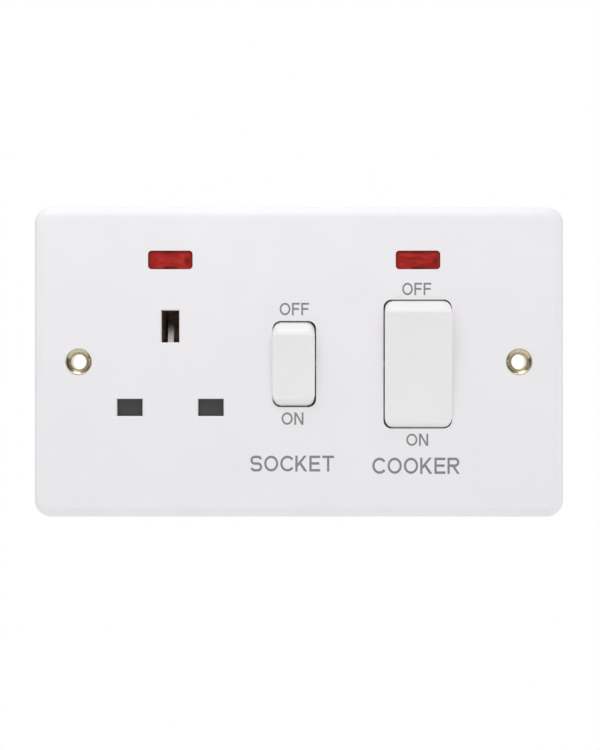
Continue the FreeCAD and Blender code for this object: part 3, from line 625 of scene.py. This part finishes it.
def soften(mesh_data: BMesh, crease_deg: float) -> None:
    """Shade a bmesh smooth, with edges over an angle left sharp.

    Args:
        mesh_data: Geometry to shade.
        crease_deg: Angle above which an edge stays sharp.
    """
    for face in mesh_data.faces:
        face.smooth = True
    for edge in mesh_data.edges:
        edge.smooth = len(edge.link_faces) == 2 and edge.calc_face_angle(0.0) < math.radians(crease_deg)


def even_normals(piece: Piece) -> None:
    """Let large faces decide the normals at their corners.

    Args:
        piece: Piece that gets the modifier.
    """
    modifier = piece.modifiers.new("even_normals", "WEIGHTED_NORMAL")
    modifier.keep_sharp = True
    modifier.weight = 100


def merged_copy(node: str) -> BMesh:
    """Copy a CAD node's mesh with its loose triangles joined.

    Args:
        node: Name of the node.

    Returns:
        The copy.
    """
    mesh_data = bmesh.new()
    mesh_data.from_mesh(frame["nodes"][node].data)
    bmesh.ops.remove_doubles(mesh_data, verts=mesh_data.verts, dist=MERGE_DISTANCE)
    return mesh_data


@dataclass
class Moulding:
    """A moulded CAD node with its edges rounded as a moulding tool leaves them."""

    node: str
    body: Body
    slot: str
    finish: Material
    edge_mm: float = 0.0
    edge_steps: int = 3
    crease_deg: float = 32.0
    flat_deg: float = 0.2

    def build(self) -> Piece:
        """Make the moulding and put it in its node's place.

        Returns:
            The new piece.
        """
        mesh_data = merged_copy(self.node)
        if self.edge_mm:
            bmesh.ops.dissolve_limit(mesh_data, angle_limit=math.radians(self.flat_deg),
                                     verts=mesh_data.verts, edges=mesh_data.edges)
            self.shape(mesh_data)
            sharp = [e for e in mesh_data.edges if self.turn_deg(e) > self.crease_deg]
            self.round_edges(mesh_data, sharp, self.edge_mm, self.edge_steps)
            bmesh.ops.remove_doubles(mesh_data, verts=mesh_data.verts, dist=SLIVER)
            bmesh.ops.dissolve_degenerate(mesh_data, edges=mesh_data.edges, dist=SLIVER)
        soften(mesh_data, self.crease_deg)
        piece = make_object(self.node + "_moulding", mesh_data, self.finish)
        even_normals(piece)
        return publish(piece, self.body, self.slot, self.node)

    def shape(self, mesh_data: BMesh) -> None:
        """Shape the moulding further before its sharp edges are rounded."""

    def turn_deg(self, edge: bmesh.types.BMEdge) -> float:
        """Angle between the two faces of an edge, or 0 at an open one."""
        return math.degrees(edge.calc_face_angle(0.0)) if len(edge.link_faces) == 2 else 0.0

    def round_edges(self, mesh_data: BMesh, edges: list[bmesh.types.BMEdge], offset_mm: float,
                    steps: int) -> None:
        """Round some edges.

        Args:
            mesh_data: Geometry to round.
            edges: The edges.
            offset_mm: Width of the rounding on either side.
            steps: Number of strips across it.
        """
        bmesh.ops.bevel(mesh_data, geom=edges, offset=offset_mm * MM, offset_type="OFFSET", affect="EDGES",
                        segments=steps, profile=0.5, material=-1, clamp_overlap=True)


@dataclass
class Rocker(Moulding):
    """A switch rocker whose face rolls over into its top and bottom ends."""

    edge_mm: float = 0.1
    crease_deg: float = 46.0
    roll_mm: float = 1.0
    roll_steps: int = 10
    roll_deg: Point = (22.0, 46.0)
    level_share: float = 0.98
    left_fill_mm: float = 0.0
    right_fill_mm: float = 0.0
    end_fill_mm: float = 0.14

    def shape(self, mesh_data: BMesh) -> None:
        """Fill some of the play in the opening and roll the face over into the ends.

        Args:
            mesh_data: The rocker's geometry.
        """
        low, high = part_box(self.node)
        size = high - low
        wider = 1.0 + (self.left_fill_mm + self.right_fill_mm) * MM / size.x
        taller = 1.0 + 2 * self.end_fill_mm * MM / size.z
        centre = Matrix.Translation(-(low + high) / 2)
        bmesh.ops.scale(mesh_data, vec=(wider, 1.0, taller), space=centre, verts=mesh_data.verts)
        aside = (self.right_fill_mm - self.left_fill_mm) * MM / 2
        bmesh.ops.translate(mesh_data, vec=(aside, 0.0, 0.0), verts=mesh_data.verts)
        across = []
        for edge in mesh_data.edges:
            along = edge.verts[1].co - edge.verts[0].co
            level = abs(along.x) > self.level_share * along.length
            if level and self.roll_deg[0] < self.turn_deg(edge) < self.roll_deg[1]:
                across.append(edge)
        LOG.info("rolled edges on %s: %d", self.node, len(across))
        self.round_edges(mesh_data, across, self.roll_mm, self.roll_steps)


@dataclass
class FixingEyelets:
    """The two turned brass eyelets, each with a rounded lip and a countersink."""

    bore_r_mm: float = 2.1
    ring_mm: float = 0.35
    lip_mm: float = 0.12
    lip_turn: float = 0.3
    steps: int = 64
    crease_deg: float = 40.0
    attribute: str = "turned_radius"

    def build(self) -> Piece:
        """Spin both eyelets and put them in their node's place.

        Returns:
            The new piece.
        """
        low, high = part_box("fixing_eyelets")
        outer = (high.z - low.z) / 2
        centres = [low.x + outer, high.x - outer]
        whole = bmesh.new()
        layer = whole.verts.layers.float.new(self.attribute)
        for x in centres:
            self.spin_one(whole, x, outer, low.y, high.y)
        bmesh.ops.recalc_face_normals(whole, faces=whole.faces)
        for vert in whole.verts:
            nearest = min(centres, key=lambda centre: abs(vert.co.x - centre))
            vert[layer] = math.hypot(vert.co.x - nearest, vert.co.z)
        soften(whole, self.crease_deg)
        piece = make_object("eyelet_bushes", whole, Finish.EYELET.made)
        return publish(piece, Body.BASE, "brass_eyelet", "fixing_eyelets")

    def spin_one(self, whole: BMesh, x: float, outer: float, front: float, back: float) -> None:
        """Spin one eyelet about its bore.

        Args:
            whole: Geometry that takes the eyelet.
            x: Place of its axis.
            outer: Outer radius.
            front: Front of the flat ring.
            back: Back of the bush.
        """
        bore = self.bore_r_mm * MM
        lip = self.lip_mm * MM
        turn = self.lip_turn * lip
        sink = outer - self.ring_mm * MM
        points = [
            (bore, back),
            (bore, front + (sink - bore)),
            (sink - lip, front + lip),
            (sink, front + turn),
            (sink + lip, front),
            (outer - lip, front),
            (outer - turn, front + turn),
            (outer, front + lip),
            (outer, back),
        ]
        verts = [whole.verts.new((x + r, y, 0.0)) for r, y in points]
        rims = [whole.edges.new(pair) for pair in zip(verts, verts[1:] + verts[:1])]
        bmesh.ops.spin(whole, geom=verts + rims, cent=(x, 0.0, 0.0), axis=(0.0, 1.0, 0.0), angle=2 * math.pi,
                       steps=self.steps, use_merge=True)


@dataclass
class TerminalScrews:
    """Slotted grub screws of the terminals."""

    slot_mm: float = 0.9
    slot_depth_mm: float = 0.9
    rim_mm: float = 0.25
    rim_steps: int = 2
    sides: int = 40
    crease_deg: float = 35.0

    def build(self) -> Piece:
        """Make every screw in its place.

        Returns:
            The new piece.
        """
        whole = bmesh.new()
        for low, high in self.places():
            self.one(whole, low, high)
        soften(whole, self.crease_deg)
        piece = make_object("slotted_terminal_screws", whole, Finish.SCREW.made)
        even_normals(piece)
        return publish(piece, Body.BASE, "screw_steel", "terminal_screws")

    def places(self) -> list[tuple[Vector, Vector]]:
        """Find every screw in the CAD node.

        Returns:
            Lowest and highest corner of each.
        """
        mesh_data = merged_copy("terminal_screws")
        left = set(mesh_data.verts)
        found = []
        while left:
            island = {left.pop()}
            fresh = list(island)
            while fresh:
                vert = fresh.pop()
                linked = {edge.other_vert(vert) for edge in vert.link_edges} - island
                island |= linked
                fresh += linked
            left -= island
            low = Vector(min(v.co[i] for v in island) for i in range(3))
            high = Vector(max(v.co[i] for v in island) for i in range(3))
            found.append((low, high))
        mesh_data.free()
        return sorted(found, key=lambda pair: (pair[0].x, pair[0].z))

    def one(self, whole: BMesh, low: Vector, high: Vector) -> None:
        """Add one slotted screw.

        Args:
            whole: Geometry that takes the screw.
            low: Lowest corner of its place.
            high: Highest corner of its place.
        """
        screw = bmesh.new()
        radius = (high.x - low.x) / 2
        depth = high.y - low.y
        centre = (low + high) / 2
        turn = Matrix.Rotation(-math.pi / 2, 4, "X")
        bmesh.ops.create_cone(screw, cap_ends=True, segments=self.sides, radius1=radius, radius2=radius,
                              depth=depth, matrix=Matrix.Translation(centre) @ turn)
        rims = [e for e in screw.edges if all(abs(v.co.y - high.y) < MERGE_DISTANCE for v in e.verts)]
        bmesh.ops.bevel(screw, geom=rims, offset=self.rim_mm * MM, offset_type="OFFSET", affect="EDGES",
                        segments=self.rim_steps, profile=0.5, material=-1)
        half = self.slot_mm * MM / 2
        floor = high.y - self.slot_depth_mm * MM
        for point, normal in (((centre.x - half, 0, 0), (1, 0, 0)), ((centre.x + half, 0, 0), (1, 0, 0)),
                              ((0, floor, 0), (0, 1, 0))):
            bmesh.ops.bisect_plane(screw, geom=screw.verts[:] + screw.edges[:] + screw.faces[:],
                                   dist=MERGE_DISTANCE, plane_co=point, plane_no=normal)
        gone = []
        for face in screw.faces:
            middle = face.calc_center_median()
            if abs(middle.x - centre.x) < half and middle.y > floor:
                gone.append(face)
        bmesh.ops.delete(screw, geom=gone, context="FACES")
        self.line_slot(screw, centre.x, half, floor)
        bmesh.ops.recalc_face_normals(screw, faces=screw.faces)
        join(screw, whole)

    def line_slot(self, screw: BMesh, x: float, half: float, floor: float) -> None:
        """Close the slot's floor and its two walls.

        Args:
            screw: The screw with its slot cut open.
            x: Middle of the slot.
            half: Half its width.
            floor: Y of its floor.
        """
        rim = [v for v in screw.verts if v.is_boundary]
        low = [v for v in rim if abs(v.co.y - floor) < NEAR]
        walls = [[v for v in rim if abs(v.co.x - x - side * half) < NEAR] for side in (-1, 1)]
        for group in [low] + walls:
            bmesh.ops.contextual_create(screw, geom=group)


@dataclass
class CoilSpring:
    """Round-wire compression spring in the place of a CAD spring, wound along its slide's axis."""

    node: str
    body: Body
    slide: str
    turns: float = 3.0
    wire_mm: float = 0.5
    wire_sides: int = 10
    steps_per_turn: int = 24
    crease_deg: float = 50.0

    def build(self) -> Piece:
        """Wind the spring along its slide's axis.

        Returns:
            The new piece.
        """
        slide = next(item for item in frame["record"]["behaviour"]["joints"] if item["name"] == self.slide)
        along = Vector(slide["axis"])
        low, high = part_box(self.node)
        centre = (low + high) / 2
        outer = (high.x - low.x) / 2
        main = max(range(3), key=lambda axis: abs(along[axis]))
        lean = math.sqrt(max(0.0, 1.0 - along[main] ** 2))
        span = ((high - low)[main] - 2 * outer * lean) / abs(along[main])
        coil = self.wind(outer, span)
        lean_to = Vector((0, 0, 1)).rotation_difference(along).to_matrix().to_4x4()
        bmesh.ops.transform(coil, matrix=Matrix.Translation(centre) @ lean_to, verts=coil.verts)
        soften(coil, self.crease_deg)
        piece = make_object(self.node + "_coil", coil, Finish.SPRING.made)
        publish(piece, self.body, "spring_steel", self.node)
        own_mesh(piece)
        return piece

    def wind(self, outer: float, span: float) -> BMesh:
        """Wind the wire about the Z axis.

        Args:
            outer: Outer radius of the coil.
            span: Length of the coil.

        Returns:
            The coil, with its middle at the origin.
        """
        wire = self.wire_mm * MM / 2
        length = span - 2 * wire
        coil = bmesh.new()
        start = Matrix.Translation((outer - wire, 0.0, -length / 2)) @ Matrix.Rotation(math.pi / 2, 4, "X")
        ring = bmesh.ops.create_circle(coil, cap_ends=False, segments=self.wire_sides, radius=wire,
                                       matrix=start)
        steps = int(self.turns * self.steps_per_turn)
        bmesh.ops.spin(coil, geom=ring["verts"] + coil.edges[:], cent=(0, 0, 0), axis=(0, 0, 1),
                       angle=2 * math.pi * self.turns, steps=steps, dvec=(0, 0, length / steps))
        bmesh.ops.holes_fill(coil, edges=[e for e in coil.edges if e.is_boundary], sides=0)
        bmesh.ops.recalc_face_normals(coil, faces=coil.faces)
        return coil


CAPITAL_WIDTH: dict[str, float] = {
    "C": 0.89, "E": 0.74, "F": 0.69, "K": 0.82, "N": 0.79, "O": 0.96, "R": 0.83, "S": 0.80, "T": 0.81,
}


@dataclass(frozen=True)
class Capital:
    """One flat capital of unit height, drawn with strokes of even weight from its left foot.

    Limb, leg, slant and notch are given in strokes, and other lengths as shares of the height or width.
    """

    letter: str
    stroke: float = 0.155
    middle: float = 0.43
    arm_cut: float = 0.06
    bowl_cut: float = 0.03
    fork: float = 0.28
    knee: float = 0.36
    limb: float = 1.3
    leg: float = 1.2
    slant: float = 1.15
    notch: float = 1.6
    opening_deg: float = 36.0
    hook_deg: float = 75.0
    steps: int = 24
    merge: float = 0.0005

    @property
    def width(self) -> float:
        """Width of the letter against its height."""
        return CAPITAL_WIDTH[self.letter]

    def draw(self, ink: BMesh, pen: float) -> None:
        """Add the capital to a word.

        Args:
            ink: Geometry that takes the letter.
            pen: Where its left side stands, against its height.
        """
        flat = bmesh.new()
        forms = {
            "C": self.open_ring, "E": self.arms, "F": self.arms, "K": self.kicked, "N": self.slanted,
            "O": self.ring, "R": self.bowl, "S": self.snake, "T": self.crossbar,
        }
        forms[self.letter](flat)
        bmesh.ops.remove_doubles(flat, verts=flat.verts, dist=self.merge)
        bmesh.ops.translate(flat, verts=flat.verts, vec=(pen, 0.0, 0.0))
        join(flat, ink)

    def patch(self, flat: BMesh, *points: Point) -> None:
        """Lay one straight-sided patch."""
        flat.faces.new([flat.verts.new((x, y, 0.0)) for x, y in points])

    def bar(self, flat: BMesh, low: Point, high: Point) -> None:
        """Lay an oblong patch between two corners."""
        self.patch(flat, low, (high[0], low[1]), high, (low[0], high[1]))

    def sweep(self, flat: BMesh, foot: Point, centre: Point, turn_deg: float,
              start_deg: float = 0.0) -> None:
        """Sweep an upright pen nib round a centre.

        Args:
            flat: Geometry that takes the stroke.
            foot: Lower end of the nib.
            centre: Centre of the sweep.
            turn_deg: Angle that it sweeps, anticlockwise.
            start_deg: Angle that the nib is turned by first.
        """
        nib = [flat.verts.new((foot[0], foot[1] + rise, 0.0)) for rise in (0.0, self.stroke)]
        about = Vector((*centre, 0.0))
        start = Matrix.Rotation(math.radians(start_deg), 3, "Z")
        bmesh.ops.rotate(flat, cent=about, matrix=start, verts=nib)
        bmesh.ops.spin(flat, geom=[*nib, flat.edges.new(nib)], cent=about, axis=(0, 0, 1),
                       angle=math.radians(turn_deg), steps=self.steps, use_merge=abs(turn_deg) >= 360)

    def ring(self, flat: BMesh) -> None:
        """Draw an O."""
        self.sweep(flat, (0.5, 1 - self.stroke), (0.5, 0.5), 360)
        bmesh.ops.scale(flat, verts=flat.verts, vec=(self.width, 1.0, 1.0))

    def open_ring(self, flat: BMesh) -> None:
        """Draw a C.

        Args:
            flat: Geometry that takes the letter.
        """
        turn = 360 - 2 * self.opening_deg
        self.sweep(flat, (0.5, 1 - self.stroke), (0.5, 0.5), turn, self.opening_deg - 90)
        reach = 0.5 + 0.5 * math.cos(math.radians(self.opening_deg))
        bmesh.ops.scale(flat, verts=flat.verts, vec=(self.width / reach, 1.0, 1.0))

    def arms(self, flat: BMesh) -> None:
        """Draw an E, or an F without the lowest arm.

        Args:
            flat: Geometry that takes the letter.
        """
        s, w, m = self.stroke, self.width, self.middle
        foot = [(0, 0), (w, 0), (w, s), (s, s)] if self.letter == "E" else [(0, 0), (s, 0)]
        short = w - self.arm_cut
        self.patch(flat, *foot, (s, m), (short, m), (short, m + s), (s, m + s), (s, 1 - s), (w, 1 - s),
                   (w, 1), (0, 1))

    def crossbar(self, flat: BMesh) -> None:
        """Draw a T.

        Args:
            flat: Geometry that takes the letter.
        """
        s, w = self.stroke, self.width
        left, right = (w - s) / 2, (w + s) / 2
        self.patch(flat, (left, 0), (right, 0), (right, 1 - s), (w, 1 - s), (w, 1), (0, 1), (0, 1 - s),
                   (left, 1 - s))

    def slanted(self, flat: BMesh) -> None:
        """Draw an N.

        Args:
            flat: Geometry that takes the letter.
        """
        s, w = self.stroke, self.width
        rise, slant = self.notch * s, self.slant * s
        self.patch(flat, (0, 0), (s, 0), (s, 1 - rise), (w - slant, 0), (w, 0), (w, 1), (w - s, 1),
                   (w - s, rise), (slant, 1), (0, 1))

    def kicked(self, flat: BMesh) -> None:
        """Draw a K, its leg kicking out from the slope of its arm.

        Args:
            flat: Geometry that takes the letter.
        """
        s, w = self.stroke, self.width
        across = self.limb * s
        slope = (1 - self.fork) / (w - self.bowl_cut - s)
        bend = self.knee * w
        knee = Vector((bend, self.fork + slope * (bend - s)))
        heel = Vector((w - across, 0.0))
        back = knee - heel
        share = (self.fork + slope * (w - s)) / (back.y - slope * back.x)
        crotch = Vector((w, 0.0)) + share * back
        tip = w - self.bowl_cut
        self.patch(flat, (0, 0), (s, 0), (s, self.fork), tuple(knee), tuple(heel), (w, 0), tuple(crotch),
                   (tip, 1), (tip - across, 1), (s, self.fork + slope * across), (s, 1), (0, 1))

    def bowl(self, flat: BMesh) -> None:
        """Draw an R.

        Args:
            flat: Geometry that takes the letter.
        """
        s, w, m = self.stroke, self.width, self.middle
        turn = w - self.bowl_cut - (1 - m) / 2
        across = self.leg * s
        leg = turn - across
        self.patch(flat, (0, 0), (s, 0), (s, m), (s, m + s), (s, 1 - s), (s, 1), (0, 1))
        self.bar(flat, (s, 1 - s), (turn, 1))
        self.sweep(flat, (turn, 1 - s), (turn, (1 + m) / 2), -180)
        self.patch(flat, (s, m), (leg, m), (turn, m), (turn, m + s), (s, m + s))
        self.patch(flat, (w - across, 0), (w, 0), (turn, m), (leg, m))

    def snake(self, flat: BMesh) -> None:
        """Draw an S.

        Args:
            flat: Geometry that takes the letter.
        """
        s, w = self.stroke, self.width
        radius = (1 - s) / 4
        left, right = radius + s / 2, w - radius - s / 2
        lower, upper = 0.5 - radius, 0.5 + radius
        for foot in (0.0, 0.5 - s / 2, 1 - s):
            self.bar(flat, (left, foot), (right, foot + s))
        self.sweep(flat, (right, 1 - s), (right, upper), -self.hook_deg)
        self.sweep(flat, (left, 1 - s), (left, upper), 180)
        self.sweep(flat, (right, 0.5 - s / 2), (right, lower), -180)
        self.sweep(flat, (left, 0.0), (left, lower), -self.hook_deg)


@dataclass
class Legend:
    """A printed word of plain capitals on the plate's front, fitted to its real width and height."""

    word: str
    name: str
    centre_mm: Point
    width_mm: float
    height_mm: float
    film_mm: float = 0.015
    sunk: float = 0.2
    spacing: float = 0.14

    def build(self) -> Piece:
        """Print the word.

        Returns:
            The new piece.
        """
        ink = bmesh.new()
        pen = 0.0
        for letter in self.word:
            capital = Capital(letter)
            capital.draw(ink, pen)
            pen += capital.width + self.spacing
        length = pen - self.spacing
        bmesh.ops.translate(ink, verts=ink.verts, vec=(-length / 2, -0.5, 0.0))
        size = (self.width_mm * MM / length, self.height_mm * MM, 1.0)
        bmesh.ops.scale(ink, verts=ink.verts, vec=size)
        film = self.film_mm * MM
        side = bmesh.ops.extrude_face_region(ink, geom=ink.faces[:])
        raised = [part for part in side["geom"] if isinstance(part, bmesh.types.BMVert)]
        bmesh.ops.translate(ink, verts=raised, vec=(0, 0, film))
        x, z = scaled(self.centre_mm, MM)
        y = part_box("front_plate")[0].y + self.sunk * film
        place = Matrix.Translation((x, y, z)) @ Matrix.Rotation(math.pi / 2, 4, "X")
        bmesh.ops.transform(ink, matrix=place, verts=ink.verts)
        bmesh.ops.recalc_face_normals(ink, faces=ink.faces)
        piece = make_object(self.name, ink, Finish.INK.made)
        return publish(piece, Body.BASE, "white_plate")


LEGENDS = (
    Legend("OFF", "socket_off_legend", (-1.25, 14.45), 8.05, 3.45),
    Legend("ON", "socket_on_legend", (-1.75, -15.53), 6.0, 3.4),
    Legend("OFF", "cooker_off_legend", (32.25, 19.95), 7.95, 3.4),
    Legend("ON", "cooker_on_legend", (32.38, -21.32), 6.0, 3.35),
    Legend("SOCKET", "socket_name_legend", (-1.82, -27.84), 22.9, 4.35),
    Legend("COOKER", "cooker_name_legend", (32.06, -28.44), 23.95, 4.45),
)


@dataclass
class NeonWindow:
    """Red neon window in the plate."""

    node: str
    half_mm: Triple = (6.1, 0.0, 2.55)
    edge_mm: float = 0.2

    def build(self) -> Piece:
        """Make the window in its node's place.

        Returns:
            The new piece.
        """
        low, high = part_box(self.node)
        red = NeonRed(self.node + "_red", (low + high) / 2, Vector(self.half_mm) * MM).material()
        return Moulding(self.node, Body.BASE, "red_lens", red, self.edge_mm).build()


@dataclass(frozen=True)
class Lamp:
    """A soft oblong lamp that looks at the plate's middle, unseen itself."""

    name: str
    place_m: Triple
    watts: float
    face_m: Point

    def hang(self, scene: bpy.types.Scene) -> None:
        """Hang the lamp in its place.

        Args:
            scene: Scene that gets the lamp.
        """
        light = bpy.data.lights.new(self.name, "AREA")
        light.energy = self.watts
        light.shape = "RECTANGLE"
        light.size, light.size_y = self.face_m
        holder = bpy.data.objects.new(self.name, light)
        holder.location = self.place_m
        holder.rotation_euler = (-Vector(self.place_m)).to_track_quat("-Z", "Y").to_euler()
        holder.visible_camera = False
        scene.collection.objects.link(holder)


@dataclass
class Studio:
    """Pale floor, soft light and the camera of the front view."""

    camera_m: Triple = (0.0003, -0.809, -0.0036)
    lens_mm: float = 140.3
    sensor_mm: float = 36.0
    clip_m: float = 0.01
    floor_z: float = -0.16
    floor_r: float = 0.36
    floor_sides: int = 96
    floor_grey: float = 0.86
    floor_fade: Point = (0.4, 0.98)
    ambient: float = 0.748
    side_span: Point = (0.12, 0.5)
    side_gloss: float = 0.06
    lamps: tuple[Lamp, ...] = (
        Lamp("key_lamp", (-0.28, -0.42, 0.46), 0.4, (0.35, 0.35)),
        Lamp("top_lamp", (-0.03, -0.13, 0.3), 0.275, (0.22, 0.22)),
        Lamp("fill_lamp", (0.2, -0.55, 0.38), 0.3, (0.15, 0.15)),
        Lamp("left_edge_lamp", (-0.3, -0.015, 0.0), 0.045, (0.04, 0.12)),
        Lamp("right_edge_lamp", (0.3, -0.015, 0.0), 0.075, (0.04, 0.12)),
        Lamp("low_edge_lamp", (0.0, -0.015, -0.15), 0.022, (0.24, 0.04)),
    )

    def build(self) -> None:
        """Set up the floor, the world, the lamps and the camera."""
        scene = bpy.context.scene
        scene.view_settings.view_transform = "Standard"
        self.floor()
        self.world(scene)
        for lamp in self.lamps:
            lamp.hang(scene)
        self.camera(scene)

    def floor(self) -> None:
        """Lay a pale round floor that fades into the white background."""
        disc = bmesh.new()
        bmesh.ops.create_circle(disc, cap_ends=True, segments=self.floor_sides, radius=self.floor_r,
                                matrix=Matrix.Translation((0, 0, self.floor_z)))
        shader = Shader("floor_pale")
        grey = self.floor_grey
        shader.set(Base_Color=(grey, grey, grey, 1.0), Roughness=0.7)
        away = shader.distance(shader.place, (1.0, 1.0, 0.0), (0.0, 0.0, 0.0))
        fade = shader.span(away, scaled(self.floor_fade, self.floor_r), UNIT)
        white = shader.add("ShaderNodeEmission", Strength=1.0)
        mix = shader.add("ShaderNodeMixShader")
        shader.link(fade, mix.inputs["Fac"])
        shader.link(shader.principled.outputs["BSDF"], mix.inputs[1])
        shader.link(white.outputs["Emission"], mix.inputs[2])
        shader.link(mix.outputs["Shader"], shader.output.inputs["Surface"])
        make_object("studio_floor", disc, shader.material)

    def world(self, scene: bpy.types.Scene) -> None:
        """White background, softer light on the object and dim sides in its reflections.

        Args:
            scene: Scene that gets the world.
        """
        world = bpy.data.worlds.new("studio_world")
        scene.world = world
        world.use_nodes = True
        nodes = Nodes(world.node_tree)
        path = nodes.add("ShaderNodeLightPath").outputs
        seen = nodes.combine("MAXIMUM", path["Is Camera Ray"], path["Is Transmission Ray"])
        parts = nodes.add("ShaderNodeSeparateXYZ")
        nodes.link(nodes.add("ShaderNodeTexCoord").outputs["Generated"], parts.inputs["Vector"])
        side = nodes.combine("ABSOLUTE", parts.outputs["X"])
        mirrored = nodes.span(side, self.side_span, (1.0, self.side_gloss), "SMOOTHSTEP")
        level = nodes.span(path["Is Glossy Ray"], UNIT, (self.ambient, mirrored))
        sky = nodes.add("ShaderNodeBackground", Color=(1.0, 1.0, 1.0, 1.0))
        nodes.link(nodes.span(seen, UNIT, (level, 1.0)), sky.inputs["Strength"])
        out = nodes.add("ShaderNodeOutputWorld")
        nodes.link(sky.outputs["Background"], out.inputs["Surface"])

    def camera(self, scene: bpy.types.Scene) -> None:
        """Set the front camera.

        Args:
            scene: Scene that gets the camera.
        """
        data = bpy.data.cameras.new("front_camera")
        data.sensor_width = self.sensor_mm
        data.lens = self.lens_mm
        data.clip_start = self.clip_m
        holder = bpy.data.objects.new("front_camera", data)
        holder.location = self.camera_m
        holder.rotation_euler = (math.pi / 2, 0.0, 0.0)
        scene.collection.objects.link(holder)
        scene.camera = holder


def write_sizes() -> None:
    """Update the view layer."""
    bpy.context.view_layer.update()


POLE_BODY: dict[str, Body] = {
    "socket": Body.SOCKET_ROCKER,
    "cooker_line": Body.COOKER_ROCKER,
    "cooker_neutral": Body.COOKER_ROCKER,
}


def main() -> None:
    """Build the dressed unit."""
    logging.basicConfig(level=logging.INFO, format="%(name)s: %(message)s")
    dress_nodes()
    springs = [CoilSpring(f"{pole}_plunger_spring", body, f"{pole}_plunger_slide")
               for pole, body in POLE_BODY.items()]
    pieces = [
        Moulding("front_plate", Body.BASE, "white_plate", Finish.PLATE.made),
        Moulding("rear_housing", Body.BASE, "housing_plastic", Finish.HOUSING.made),
        Rocker("socket_rocker", Body.SOCKET_ROCKER, "white_rocker", Finish.ROCKER.made, left_fill_mm=0.05),
        Rocker("cooker_rocker", Body.COOKER_ROCKER, "white_rocker", Finish.ROCKER.made, right_fill_mm=0.05),
        NeonWindow("socket_neon_lens"),
        NeonWindow("cooker_neon_lens"),
        FixingEyelets(),
        TerminalScrews(),
        CoilSpring("shutter_spring", Body.BASE, "shutter_slide", turns=4.0),
        *springs,
        *LEGENDS,
    ]
    for piece in pieces:
        piece.build()
    Studio().build()
    write_sizes()


if __name__ == "__main__":
    main()
